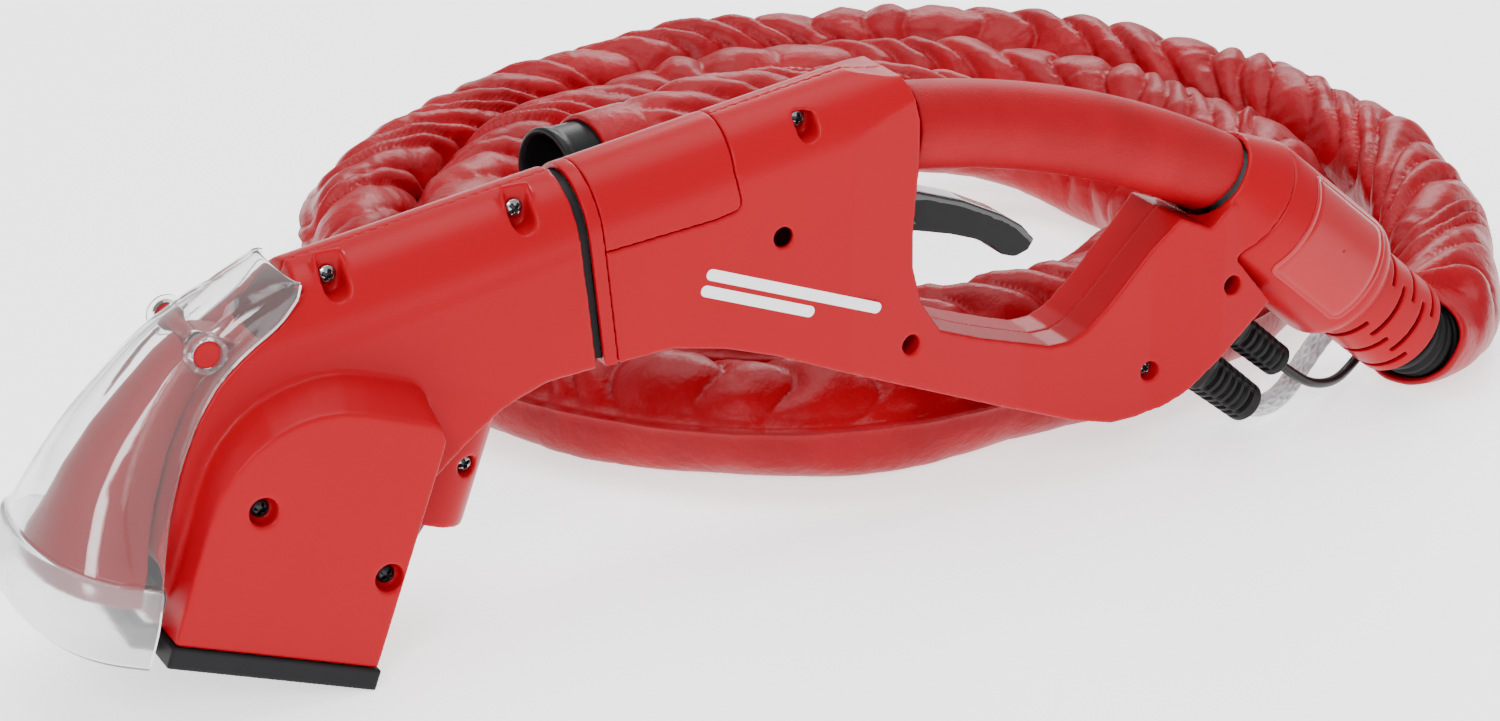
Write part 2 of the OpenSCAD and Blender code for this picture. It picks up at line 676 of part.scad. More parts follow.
// Bellows elbow: out of the cuff along the tail, then round to the sleeve's direction
neck_start = 16;
neck_straight = 44;
elbow_r = 30;
sleeve_dir = [0.8, 0.6, 0];
elbow_from = [cos(tail_drop), 0, -sin(tail_drop)];
elbow_turn = acos(elbow_from * sleeve_dir);
elbow_side = unit(sleeve_dir - cos(elbow_turn) * elbow_from);
elbow_start = tail_origin + neck_straight * elbow_from;
neck_route = [
    for (s = [neck_start:7:neck_straight - 1]) tail_origin + s * elbow_from,
    for (a = [0:elbow_turn / 7:elbow_turn + 0.01])
        elbow_start + elbow_r * (sin(a) * elbow_from + (1 - cos(a)) * elbow_side)
];
module hose_neck() color(black) place() sweep(neck_route, hose_r, 16, elbow_from, sleeve_dir);

// Strain reliefs on the slanted rear face: [point on the face, length, root radius, tip radius]
relief_lower_at = [371, 38.5];
relief_upper_at = [388, 52.5];
module relief_frame(p) translate([p[0], 0, p[1]]) rotate([0, tail_drop, 0]) children();
module relief_cut() {
    relief_frame(relief_lower_at) rod_s(8.2, -5, 5);
    relief_frame(relief_upper_at) rod_s(6.2, -5, 5);
}
module relief(p, length, r0, r1, neck_r) color(black) place() relief_frame(p) {
    translate([1.9, 0, 0]) rotate([0, 90, 0]) cylinder(r1 = r0, r2 = r1, h = length - 1.9);
    rod_s(neck_r, -4, 2.4);
}
module relief_lower() relief(relief_lower_at, 45, 10.6, 8.6, 8);
module relief_upper() relief(relief_upper_at, 42, 8.6, 7, 6);

// ---------- cords ----------
cable_route = [
    [421, 0, 24.5], [429, 0.5, 18], [438, 2, 12], [449, 6, 7.5], [461, 12, 5], [473, 19, 5.5], [484, 24, 10],
    [488, 25.5, 13], [490.5, 25.5, 15.5]
];
module power_cable() color(black) place() sweep(cable_route, 2.1, 8, [0.77, 0, -0.64]);
braid_route = [
    [406, 0, 9], [413, 1, 6.5], [423, 5, 5.5], [436, 13, 6], [449, 22, 9], [463, 30, 14], [476, 35, 20],
    [485, 35, 25], [489, 31, 29], [488, 26, 32]
];
module braided_tube() color("#e8e8ea") place() sweep(braid_route, 4.5, 10, [0.77, 0, -0.64]);

// Centreline of the sleeved hose as it lies on the floor behind the tool, from the tail to the machine end
sleeve_z = 21.5;
sleeve_plan = [
    [507, 9], [536, 36], [566, 78], [592, 128], [608, 182], [613, 240], [606, 298], [586, 352], [552, 400],
    [506, 434], [450, 456], [388, 465], [326, 458], [266, 436], [210, 401], [164, 354], [136, 300],
    [124, 242], [128, 182], [146, 126], [178, 80], [220, 50], [262, 38], [310, 40], [360, 46], [412, 58],
    [462, 82], [508, 118], [540, 164], [554, 218], [551, 274], [532, 328], [494, 372], [443, 399],
    [384, 411], [322, 407], [265, 383], [217, 346], [186, 297], [173, 240], [185, 182], [222, 132],
    [276, 99], [336, 88], [394, 97], [446, 127], [480, 171]
];
// Last run, which climbs so that the cuff lies over the inner turn of the coil
sleeve_rise = [
    [488, 214, 22.5], [478, 252, 27], [450, 280, 34.5], [408, 294, 43], [356, 289, 52], [304, 275, 60.5],
    [275, 264, 63.2], [246.5, 256, 63.5]
];
sleeve_route = concat([for (p = sleeve_plan) [p[0], p[1], sleeve_z]], sleeve_rise);
sleeve_out = unit([-97, -18, 0]);
sleeve_tip = sleeve_rise[len(sleeve_rise) - 1];
module hose_sleeve() color(red) place() sweep(sleeve_route, sleeve_r, 12, sleeve_dir, sleeve_out);

// Frame at the sleeve's far end, X along the hose
module tip_frame() translate(sleeve_tip)
    rotate([0, -asin(sleeve_out[2]), atan2(sleeve_out[1], sleeve_out[0])]) children();
band_len = 23;
machine_cuff_r = machine_bore_r + 2.7;
machine_cuff_len = 43;
module sleeve_end_band() color("#d8262c") place() tip_frame() difference() {
    rod_s(machine_cuff_r + 2.4, 0.3, band_len);
    rod_s(machine_cuff_r + 0.2, 0, band_len + 1);
}
module machine_cuff() color(black) place() tip_frame() difference() {
    rod_s(machine_cuff_r, 0.6, machine_cuff_len);
    rod_s(machine_bore_r, machine_cuff_len - 40, machine_cuff_len + 1);
}

head_shell_near();
head_shell_far();
nozzle_cover();
nozzle_core();
cover_pin();
bumper();
brush_block();
bristles();
brush_pin();
motor_can();
motor_rotor();
motor_cradle();
spray_tip();
spray_tube();
head_screws();
bump_screws();
joint_seal();
front_collar();
body_shell_near();
body_shell_far();
top_cover();
suction_duct();
grip_sleeve();
grip_tube();
trigger();
trigger_pin();
valve_body();
valve_plunger();
valve_spring();
motor_switch();
solution_tube();
wiring();
body_screws();
rear_barrel();
label_plate();
swivel_cuff();
hose_neck();
relief_upper();
relief_lower();
power_cable();
braided_tube();
hose_sleeve();
sleeve_end_band();
machine_cuff();
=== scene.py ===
"""Looks of a motorised upholstery hand tool with a sleeved vacuum hose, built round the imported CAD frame."""

import json
import math
import random

import bmesh
import bpy
import numpy as np
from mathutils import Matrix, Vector, noise


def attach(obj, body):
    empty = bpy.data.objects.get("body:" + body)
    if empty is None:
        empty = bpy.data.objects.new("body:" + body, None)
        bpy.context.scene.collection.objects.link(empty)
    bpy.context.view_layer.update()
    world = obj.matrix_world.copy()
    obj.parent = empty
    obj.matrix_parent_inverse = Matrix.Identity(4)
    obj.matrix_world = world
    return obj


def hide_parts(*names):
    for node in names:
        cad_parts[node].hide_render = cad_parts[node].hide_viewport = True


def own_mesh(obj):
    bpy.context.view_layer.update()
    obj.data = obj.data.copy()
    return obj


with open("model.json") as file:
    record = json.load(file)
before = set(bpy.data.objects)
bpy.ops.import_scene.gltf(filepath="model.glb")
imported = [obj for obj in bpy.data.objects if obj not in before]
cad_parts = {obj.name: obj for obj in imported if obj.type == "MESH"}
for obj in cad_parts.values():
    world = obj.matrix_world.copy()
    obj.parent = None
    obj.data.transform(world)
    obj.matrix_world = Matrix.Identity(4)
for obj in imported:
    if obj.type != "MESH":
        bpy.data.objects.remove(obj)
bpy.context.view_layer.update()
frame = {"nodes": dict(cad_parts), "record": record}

nodes = frame["nodes"]
MM = 0.001
random.seed(7)

# The CAD source draws its outlines with X = 0 at the head's rear bottom edge; the frame centres on the tool.
MID_X = 188.9693


def row(p):
    """A point of the CAD outlines, in mm, as a point of the row frame, in metres."""
    return Vector(((p[0] - MID_X) * MM, p[1] * MM, p[2] * MM))


# ---------- frames of head and tail ----------
HEAD_TILT = math.radians(20)
TAIL_DROP = math.radians(40)
TAIL_ORIGIN = (450, 0, 56)
TAIL_AXIS = Vector((math.cos(TAIL_DROP), 0, -math.sin(TAIL_DROP)))


def from_head(u, y, v):
    """A point of the head's own tilted frame, in mm, as a point of the row frame."""
    c, s = math.cos(HEAD_TILT), math.sin(HEAD_TILT)
    return row((u * c + v * s, y, v * c - u * s))


def on_tail(s, n=0.0, y=0.0):
    """A point s mm along the tail axis and n mm above it, in the row frame."""
    c, d = math.cos(TAIL_DROP), math.sin(TAIL_DROP)
    return row((TAIL_ORIGIN[0] + s * c + n * d, y, TAIL_ORIGIN[2] - s * d + n * c))


# ---------- camera ----------
# it stands where the photograph was taken from
LENS = 84
SENSOR_WIDTH = 36
CAMERA_PLACE = (-395.6, -1071.0, 589.7)
CAMERA_AZIMUTH, CAMERA_ELEVATION = math.radians(28), math.radians(23)


def make_camera():
    data = bpy.data.cameras.new("camera")
    data.sensor_width = SENSOR_WIDTH
    data.lens = LENS
    data.clip_start, data.clip_end = 0.05, 50
    camera = bpy.data.objects.new("camera", data)
    bpy.context.scene.collection.objects.link(camera)
    forward = Vector((
        math.sin(CAMERA_AZIMUTH) * math.cos(CAMERA_ELEVATION),
        math.cos(CAMERA_AZIMUTH) * math.cos(CAMERA_ELEVATION),
        -math.sin(CAMERA_ELEVATION),
    ))
    camera.location = row(CAMERA_PLACE)
    camera.rotation_mode = "QUATERNION"
    camera.rotation_quaternion = forward.to_track_quat("-Z", "Y")
    bpy.context.scene.camera = camera


make_camera()


# ---------- materials ----------
# places of the colour sockets on a Mix node, whose names repeat for each data type
MIX_FIRST_COLOR, MIX_SECOND_COLOR, MIX_COLOR_OUT = 6, 7, 2
BLOTCH_FROM, BLOTCH_TO = 0.35, 0.65
WEAVE_PER_METRE = 700


def material(name, color, rough, speckle=(), blotch=None, pattern=None, **sockets):
    """A principled material. speckle is a list of (features per metre, strength, depth in metres) of bumps;
    blotch is (features per metre, second colour, share); pattern(tree, coords) returns one more bump."""
    mat = bpy.data.materials.new(name)
    mat.use_nodes = True
    tree = mat.node_tree
    shader = next(n for n in tree.nodes if n.type == "BSDF_PRINCIPLED")
    shader.inputs["Base Color"].default_value = (*color, 1)
    shader.inputs["Roughness"].default_value = rough
    for key, value in sockets.items():
        shader.inputs[key.replace("_", " ")].default_value = value
    coords = tree.nodes.new("ShaderNodeTexCoord").outputs["Object"]
    if blotch:
        scale, second, share = blotch
        noise_node = noise_texture(tree, coords, scale, 4)
        ramp = tree.nodes.new("ShaderNodeMapRange")
        ramp.inputs["From Min"].default_value = BLOTCH_FROM
        ramp.inputs["From Max"].default_value = BLOTCH_TO
        ramp.inputs["To Max"].default_value = share
        tree.links.new(noise_node.outputs["Fac"], ramp.inputs["Value"])
        mix = tree.nodes.new("ShaderNodeMix")
        mix.data_type = "RGBA"
        mix.inputs[MIX_FIRST_COLOR].default_value = (*color, 1)
        mix.inputs[MIX_SECOND_COLOR].default_value = (*second, 1)
        tree.links.new(ramp.outputs["Result"], mix.inputs["Factor"])
        tree.links.new(mix.outputs[MIX_COLOR_OUT], shader.inputs["Base Color"])
        gloss = tree.nodes.new("ShaderNodeMapRange")
        gloss.inputs["To Min"].default_value = rough * 0.9
        gloss.inputs["To Max"].default_value = min(1.0, rough * 1.15)
        tree.links.new(noise_node.outputs["Fac"], gloss.inputs["Value"])
        tree.links.new(gloss.outputs["Result"], shader.inputs["Roughness"])
    normal = None
    layers = [(noise_texture(tree, coords, s, 2).outputs["Fac"], st, d) for s, st, d in speckle]
    if pattern:
        layers.append(pattern(tree, coords))
    for height, strength, depth in layers:
        bump = tree.nodes.new("ShaderNodeBump")
        bump.inputs["Strength"].default_value = strength
        bump.inputs["Distance"].default_value = depth
        tree.links.new(height, bump.inputs["Height"])
        if normal is not None:
            tree.links.new(normal, bump.inputs["Normal"])
        normal = bump.outputs["Normal"]
    if normal is not None:
        tree.links.new(normal, shader.inputs["Normal"])
    return mat


def noise_texture(tree, coords, scale, detail):
    """A noise node read at coords, with scale features per metre."""
    node = tree.nodes.new("ShaderNodeTexNoise")
    node.inputs["Scale"].default_value = scale
    node.inputs["Detail"].default_value = detail
    tree.links.new(coords, node.inputs["Vector"])
    return node


def weave(tree, coords):
    """Fine plain weave of a coated nylon, from two crossed wave bands."""
    add = tree.nodes.new("ShaderNodeMath")
    for i, axis in enumerate(("X", "Y")):
        wave = tree.nodes.new("ShaderNodeTexWave")
        wave.bands_direction = axis
        wave.inputs["Scale"].default_value = WEAVE_PER_METRE
        wave.inputs["Distortion"].default_value = 1.5
        tree.links.new(coords, wave.inputs["Vector"])
        tree.links.new(wave.outputs["Fac"], add.inputs[i])
    return add.outputs["Value"], 0.1, 0.0002


RED = (0.34, 0.0, 0.007)
MATERIALS = {
    "red_plastic": material(
        "moulded_red_plastic", RED, 0.33, speckle=[(1500, 0.16, 0.0003), (60, 0.05, 0.002)],
        blotch=(9, (0.31, 0.0, 0.006), 0.6), Specular_IOR_Level=0.12,
    ),
    "clear_plastic": material(
        "clear_polycarbonate", (0.96, 0.965, 0.97), 0.05, speckle=[(35, 0.06, 0.002)],
        Transmission_Weight=0.97, IOR=1.45,
    ),
    "grip_rubber": material(
        "textured_grip", (0.31, 0.0, 0.006), 0.5, speckle=[(1100, 0.5, 0.0004)],
        blotch=(40, (0.25, 0.0, 0.005), 0.7), Specular_IOR_Level=0.14,
    ),
    "black_rubber": material(
        "black_rubber", (0.007, 0.007, 0.008), 0.5, speckle=[(900, 0.25, 0.0003)],
        blotch=(60, (0.01, 0.01, 0.011), 0.8), Specular_IOR_Level=0.14,
    ),
    "black_plastic": material(
        "black_plastic", (0.006, 0.006, 0.007), 0.34, speckle=[(1500, 0.18, 0.0003)],
        blotch=(50, (0.009, 0.009, 0.01), 0.7), Specular_IOR_Level=0.14,
    ),
    "bristle": material(
        "red_bristles", (0.34, 0.002, 0.008), 0.4, speckle=[(1500, 0.3, 0.0003)],
        blotch=(150, (0.27, 0.001, 0.006), 0.8),
    ),
    "steel": material(
        "plain_steel", (0.56, 0.57, 0.58), 0.32, speckle=[(800, 0.1, 0.0002)],
        blotch=(120, (0.42, 0.43, 0.44), 0.8), Metallic=1.0,
    ),
    "screw_steel": material(
        "bright_zinc", (0.42, 0.42, 0.43), 0.2, speckle=[(700, 0.1, 0.0002)],
        blotch=(200, (0.3, 0.3, 0.31), 0.6), Metallic=1.0,
    ),
    "copper": material(
        "wound_copper", (0.55, 0.24, 0.1), 0.35, speckle=[(900, 0.5, 0.0004)],
        blotch=(90, (0.35, 0.14, 0.06), 0.8), Metallic=1.0,
    ),
    "duct_grey": material(
        "grey_duct", (0.22, 0.225, 0.235), 0.42, speckle=[(900, 0.2, 0.0003)],
        blotch=(30, (0.17, 0.175, 0.18), 0.8),
    ),
    "nylon": material(
        "natural_nylon", (0.72, 0.69, 0.6), 0.4, speckle=[(900, 0.15, 0.0003)],
        blotch=(60, (0.62, 0.58, 0.48), 0.7),
    ),
    "clear_tube": material(
        "translucent_tube", (0.78, 0.78, 0.74), 0.3, speckle=[(600, 0.1, 0.0003)],
        blotch=(60, (0.7, 0.69, 0.62), 0.7), Transmission_Weight=0.4,
    ),
    "cable": material(
        "cable_jacket", (0.006, 0.006, 0.007), 0.32, speckle=[(500, 0.12, 0.0003)],
        blotch=(80, (0.01, 0.01, 0.011), 0.8), Specular_IOR_Level=0.25,
    ),
    "label": material(
        "blank_label_film", (0.36, 0.0, 0.007), 0.25, speckle=[(500, 0.05, 0.0002)],
        blotch=(25, (0.33, 0.0, 0.006), 0.8), Specular_IOR_Level=0.3,
    ),
    "white_braid": material(
        "white_braid", (0.62, 0.63, 0.65), 0.45, speckle=[(1500, 0.3, 0.0003)],
        blotch=(220, (0.36, 0.37, 0.4), 0.8), Specular_IOR_Level=0.3,
    ),
    "red_fabric": material(
        "coated_red_nylon", (0.29, 0.0, 0.006), 0.32, speckle=[(260, 0.35, 0.0012), (2600, 0.3, 0.0002)],
        blotch=(24, (0.21, 0.0, 0.004), 0.8), pattern=weave, Specular_IOR_Level=0.16, Sheen_Weight=0.05,
        Sheen_Roughness=0.4, Sheen_Tint=(1.0, 0.2, 0.22, 1),
    ),
}
WHITE_INK = material(
    "white_ink", (0.9, 0.9, 0.9), 0.35, speckle=[(1500, 0.1, 0.0002)], blotch=(200, (0.84, 0.84, 0.84), 0.6)
)
DARK_STEEL = material(
    "shadowed_steel", (0.03, 0.03, 0.032), 0.35, speckle=[(700, 0.2, 0.0002)],
    blotch=(200, (0.05, 0.05, 0.052), 0.6), Metallic=1.0,
)
CLEAR_LIP = material(
    "frosted_lip", (0.86, 0.875, 0.89), 0.16, speckle=[(500, 0.12, 0.0003)],
    blotch=(80, (0.82, 0.83, 0.85), 0.5), Transmission_Weight=0.86, IOR=1.45,
)
TRIGGER_GLOSS = material(
    "glossy_black", (0.008, 0.008, 0.009), 0.14, speckle=[(400, 0.06, 0.0003)],
    blotch=(60, (0.014, 0.014, 0.015), 0.6), Coat_Weight=0.5, Coat_Roughness=0.08,
)
SLOT_OF = {part["node"]: part["material_slot"] for part in frame["record"]["subparts"]}


def paint(obj, *mats):
    """Gives an object these materials and no others."""
    obj.data.materials.clear()
    for mat in mats:
        obj.data.materials.append(mat)


for node_name, node_object in nodes.items():
    paint(node_object, MATERIALS[SLOT_OF[node_name]])


# ---------- mesh helpers ----------
def mesh_object(name, verts, faces, smooth=True):
    """A new object from points and faces, with all its faces turned outwards."""
    data = bpy.data.meshes.new(name)
    data.from_pydata([tuple(v) for v in verts], [], [tuple(f) for f in faces])
    data.validate()
    bm = bmesh.new()
    bm.from_mesh(data)
    bmesh.ops.recalc_face_normals(bm, faces=bm.faces)
    bm.to_mesh(data)
    bm.free()
    data.polygons.foreach_set("use_smooth", [smooth] * len(data.polygons))
    obj = bpy.data.objects.new(name, data)
    bpy.context.scene.collection.objects.link(obj)
    return obj


def settle(obj):
    """Applies an object's modifiers."""
    graph = bpy.context.evaluated_depsgraph_get()
    done = bpy.data.meshes.new_from_object(obj.evaluated_get(graph))
    obj.modifiers.clear()
    obj.data = done


def shade_smooth(obj):
    obj.data.polygons.foreach_set("use_smooth", [True] * len(obj.data.polygons))


def finish_piece(obj, body, slot, stands_for=(), mats=None):
    """Paints a new piece, makes it ride on its body and stand for its CAD nodes."""
    paint(obj, *(mats or [MATERIALS[slot]]))
    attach(obj, body)
    if stands_for:
        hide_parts(*stands_for)
    return obj


def points_of(obj):
    """An object's vertices as rows of an array."""
    co = np.empty(len(obj.data.vertices) * 3)
    obj.data.vertices.foreach_get("co", co)
    return co.reshape(-1, 3)


def smooth_step(x, low, high):
    """0 below low, 1 above high, with a soft rise between them."""
    t = np.clip((x - low) / (high - low), 0, 1)
    return t * t * (3 - 2 * t)


# points worked out between two given points of a spline, before it is resampled
SPAN_POINTS = 24


def spline(points, step):
    """Centripetal Catmull-Rom curve through points, as points a step apart along it."""
    p = np.array([list(q) for q in points], float)
    p = np.vstack([2 * p[0] - p[1], p, 2 * p[-1] - p[-2]])
    dense = []
    for i in range(1, len(p) - 2):
        knots = [0.0]
        for a, b in zip(p[i - 1:i + 2], p[i:i + 3]):
            knots.append(knots[-1] + max(np.linalg.norm(b - a), 1e-9) ** 0.5)
        t0, t1, t2, t3 = knots
        t = np.linspace(t1, t2, SPAN_POINTS, endpoint=False)[:, None]
        a1 = (t1 - t) / (t1 - t0) * p[i - 1] + (t - t0) / (t1 - t0) * p[i]
        a2 = (t2 - t) / (t2 - t1) * p[i] + (t - t1) / (t2 - t1) * p[i + 1]
        a3 = (t3 - t) / (t3 - t2) * p[i + 1] + (t - t2) / (t3 - t2) * p[i + 2]
        b1 = (t2 - t) / (t2 - t0) * a1 + (t - t0) / (t2 - t0) * a2
        b2 = (t3 - t) / (t3 - t1) * a2 + (t - t1) / (t3 - t1) * a3
        dense.extend((t2 - t) / (t2 - t1) * b1 + (t - t1) / (t2 - t1) * b2)
    dense.append(p[-2])
    return resample(np.array(dense), step)


def arc_lengths(path):
    """Distance along a path of each of its points."""
    return np.concatenate([[0], np.cumsum(np.linalg.norm(np.diff(path, axis=0), axis=1))])


def resample(path, step):
    """The same path with its points about step apart."""
    s = arc_lengths(path)
    count = max(2, int(round(s[-1] / step)) + 1)
    at = np.linspace(0, s[-1], count)
    return np.column_stack([np.interp(at, s, path[:, k]) for k in range(3)])


def frames_along(path):
    """Tangent, side and up directions at each point, with up as near to +Z as the tangent allows."""
    tangent = np.gradient(path, axis=0)
    tangent /= np.linalg.norm(tangent, axis=1)[:, None]
    side = np.cross(tangent, [0, 0, 1.0])
    side /= np.linalg.norm(side, axis=1)[:, None]
    return tangent, side, np.cross(side, tangent)


def tube(path, radius, sides, caps=True):
    """A tube along path. radius(s, angle) is in metres; angle 0 is to the side, a quarter turn is up."""
    _, side, up = frames_along(path)
    s = arc_lengths(path)
    angle = np.linspace(0, 2 * math.pi, sides, endpoint=False)
    r = radius(s[:, None], angle[None, :]) * np.ones((len(path), sides))
    verts = (
        path[:, None, :]
        + (r * np.cos(angle))[:, :, None] * side[:, None, :]
        + (r * np.sin(angle))[:, :, None] * up[:, None, :]
    ).reshape(-1, 3)
    return verts, grid_faces(len(path), sides, caps)


def grid_faces(rows, cols, caps):
    """Faces of a tube of rows rings, each with cols points."""
    i, k = np.meshgrid(np.arange(rows - 1), np.arange(cols), indexing="ij")
    k2 = (k + 1) % cols
    faces = np.stack([i * cols + k, i * cols + k2, (i + 1) * cols + k2, (i + 1) * cols + k], -1)
    faces = faces.reshape(-1, 4).tolist()
    if caps:
        faces.append(list(range(cols)))
        faces.append(list(range((rows - 1) * cols, rows * cols)))
    return faces


def lathe(name, profile, origin, axis, sides=72, closed=False):
    """A turned piece. profile is a list of (distance along the axis, radius) in mm; closed makes a ring."""
    axis = Vector(axis).normalized()
    across = axis.orthogonal().normalized()
    third = axis.cross(across)
    verts = []
    for s, r in profile:
        for k in range(sides):
            a = 2 * math.pi * k / sides
            verts.append(origin + axis * s * MM + (across * math.cos(a) + third * math.sin(a)) * r * MM)
    faces = grid_faces(len(profile), sides, not closed)
    if closed:
        last = (len(profile) - 1) * sides
        faces += [[last + k, last + (k + 1) % sides, (k + 1) % sides, k] for k in range(sides)]
    return mesh_object(name, verts, faces)


# ---------- cords ----------
# the sleeve's centreline in mm, as it lies: its mouth, the turns on the floor, then up onto the inner turn
SLEEVE_Z = 21.5
SLEEVE_PLAN = [
    (507, 9), (536, 36), (566, 78), (592, 128), (608, 182), (613, 240), (606, 298), (586, 352), (552, 400),
    (506, 434), (450, 456), (388, 465), (326, 458), (266, 436), (210, 401), (164, 354), (136, 300),
    (124, 242), (128, 182), (146, 126), (178, 80), (220, 50), (262, 38), (310, 40), (360, 46), (412, 58),
    (462, 82), (508, 118), (540, 164), (554, 218), (551, 274), (532, 328), (494, 372), (443, 399),
    (384, 411), (322, 407), (265, 383), (217, 346), (186, 297), (173, 240), (185, 182), (222, 132),
    (276, 99), (336, 88), (394, 97), (446, 127), (480, 171),
]
SLEEVE_MOUTH = [(491, 0.5, 25), (499, 4.5, 22.5)]
SLEEVE_RISE = [
    (488, 214, 22.5), (478, 252, 27), (450, 280, 34.5), (408, 294, 43), (356, 289, 52), (304, 275, 60.5),
    (275, 264, 63.2), (246.5, 256, 63.5),
]
SLEEVE_OUT = Vector((-97, -18, 0)).normalized()
sleeve_points = SLEEVE_MOUTH + [(x, y, SLEEVE_Z) for x, y in SLEEVE_PLAN] + SLEEVE_RISE
FABRIC_STEP = 1.6 * MM
sleeve_path = spline([row(p) for p in sleeve_points], FABRIC_STEP)

# angle of the gathered side round the hose: up and a little to the inside of the coil
GATHERED_AT = math.radians(108)
# the fabric's sizes in metres: mean radius, radius at the end band and the length over which it draws in
FABRIC_R, BAND_R, DRAW_IN = 0.0238, 0.0222, 0.018
# distance between two gathers, at least and at most, and how deep one is
GATHER_GAP = (0.014, 0.036)
GATHER_DEPTH = 0.0064
# share of a gather's depth that is left on the smooth side
SMOOTH_SHARE = 0.08
# a gather runs round the hose on a slant, and wanders
SLANT, WANDER = 0.019, 0.006
# how much one puff may be flatter or fuller than the next
PUFF_FROM, PUFF_TO, PUFF_COUNT = 0.35, 1.2, 512
# long, slow slumps of the padding
SLUMP, SHORT_SLUMP = 0.0013, 0.0010


def angle_apart(angle, centre):
    """How far an angle is from centre, either way round."""
    return np.abs((angle - centre + math.pi) % (2 * math.pi) - math.pi)


def sleeve_radius(s, angle):
    """Padded fabric: puffs between deep gathers on the upper side, a smooth lower side."""
    draws = np.random.default_rng(11)
    total = s[-1, 0]
    marks = [0.0]
    while marks[-1] < total + 0.05:
        marks.append(marks[-1] + draws.uniform(*GATHER_GAP))
    marks = np.array(marks)
    gathered = 1 - smooth_step(angle_apart(angle, GATHERED_AT), 0.7, 1.9)
    shift = SLANT * np.sin(1.3 * (angle - GATHERED_AT)) * (1 + 0.6 * np.sin(s * 9))
    shift = shift + WANDER * np.sin(3 * angle + s * 31)
    phase = np.interp(s + shift, marks, np.arange(len(marks)))
    lobe = np.abs(np.sin(math.pi * phase)) ** 0.6
    which = np.floor(phase).astype(int) % PUFF_COUNT
    puff = draws.uniform(PUFF_FROM, PUFF_TO, PUFF_COUNT)[which]
    depth = GATHER_DEPTH * (SMOOTH_SHARE + (1 - SMOOTH_SHARE) * gathered)
    r = FABRIC_R + depth * (lobe - 0.74) * puff
    slow = SLUMP * np.sin(s * 31 + 1.7 * np.sin(s * 12)) * np.cos(angle - 0.6)
    slow = slow + SHORT_SLUMP * np.sin(s * 57 + 2 * angle)
    ends = smooth_step(s, total - DRAW_IN, total)
    return (r + slow) * (1 - ends) + BAND_R * ends


# height in metres of the small creases, and the share of it that the smooth side loses
CREASE = 0.0013
SMOOTHED = 0.72


def fabric_detail(path, verts, sides):
    """Folds and creases, from ridged solid noise that is stretched across the hose."""
    centre = np.repeat(path, sides, axis=0)
    out = verts - centre
    out /= np.linalg.norm(out, axis=1)[:, None]
    s = np.repeat(arc_lengths(path), sides)
    angle = np.tile(np.linspace(0, 2 * math.pi, sides, endpoint=False), len(path))
    shift = np.empty(len(verts))
    for i, v in enumerate(verts):
        place = Vector(v)
        a = angle[i]
        # wrinkles run round the hose on a slant: fine along it, slow across it
        slanted = Vector((s[i] * 58 + 1.2 * math.sin(a + 0.6), 1.3 * math.cos(a), 1.3 * math.sin(a)))
        ridge = 0.5 - abs(noise.noise(slanted))
        shift[i] = 1.1 * (ridge - 0.38) + noise.noise(place * 48) * 1.2 + noise.noise(place * 190) * 0.22
    shift *= 1 - SMOOTHED * smooth_step(angle_apart(angle, GATHERED_AT), 1.0, 2.0)
    return verts + out * (shift * CREASE)[:, None]


# the sewn edge stands out to the outer side of the coil: its angle round the hose, width and height
SEWN_AT, SEWN_WIDTH, SEWN_HEIGHT = math.radians(14), 0.07, 0.0042
# rows of the lining: (mm behind the mouth's edge, share of the mouth's radius)
MOUTH_LINING = [
    (-1.2, 0.97), (-1.6, 0.93), (-1.2, 0.895), (1, 0.88), (5, 0.87), (10, 0.86), (15, 0.84), (20, 0.8),
]
# lowest height of the fabric above the floor, and the height over which it flattens
FABRIC_LOW, FLATTENS = 0.0009, 0.002


def sewn_edge(path, sides):
    """Shift of each fabric point for the sewn edge, which fades out towards both ends."""
    angle = np.tile(np.linspace(0, 2 * math.pi, sides, endpoint=False), len(path))
    _, side, _ = frames_along(path)
    fin = np.exp(-(angle_apart(angle, SEWN_AT) / SEWN_WIDTH) ** 2)
    s = np.repeat(arc_lengths(path), sides)
    fade = smooth_step(s, 0.10, 0.2) * (1 - smooth_step(s, s[-1] - 0.12, s[-1] - 0.05))
    return (fin * fade * SEWN_HEIGHT)[:, None] * np.repeat(side, sides, axis=0)


def rest_on_floor(verts):
    """Flattens the fabric where it lies on the floor."""
    rest = FABRIC_LOW + FLATTENS * np.exp((verts[:, 2] - FABRIC_LOW - FLATTENS) / (2 * FLATTENS))
    flat = np.where(verts[:, 2] < FABRIC_LOW + FLATTENS, rest, verts[:, 2])
    verts[:, 2] = np.maximum(flat, FABRIC_LOW)


def make_sleeve():
    """The fabric sleeve, with a thick rolled mouth and the lining that runs back inside it."""
    sides = 80
    path = sleeve_path
    verts, _ = tube(path, sleeve_radius, sides, False)
    verts = fabric_detail(path, verts, sides) + sewn_edge(path, sides)
    tangent, _, _ = frames_along(path)
    mouth = verts[:sides]
    inner = []
    for back, shrink in MOUTH_LINING:
        inner.append(path[0] + (mouth - path[0]) * shrink + tangent[0] * back * MM)
    verts = np.vstack(inner[::-1] + [verts])
    rest_on_floor(verts)
    faces = grid_faces(len(path) + len(inner), sides, True)
    obj = mesh_object("hose_sleeve_fabric", verts, faces)
    return finish_piece(obj, "tool", "red_fabric", ["hose_sleeve"])


sleeve = make_sleeve()

NECK_START, NECK_STRAIGHT, ELBOW_R = 16, 44, 30
NECK_ROOT, NECK_CREST, NECK_PITCH = 0.0152, 0.0018, 4.4 * MM
SLEEVE_DIR = Vector((0.8, 0.6, 0))


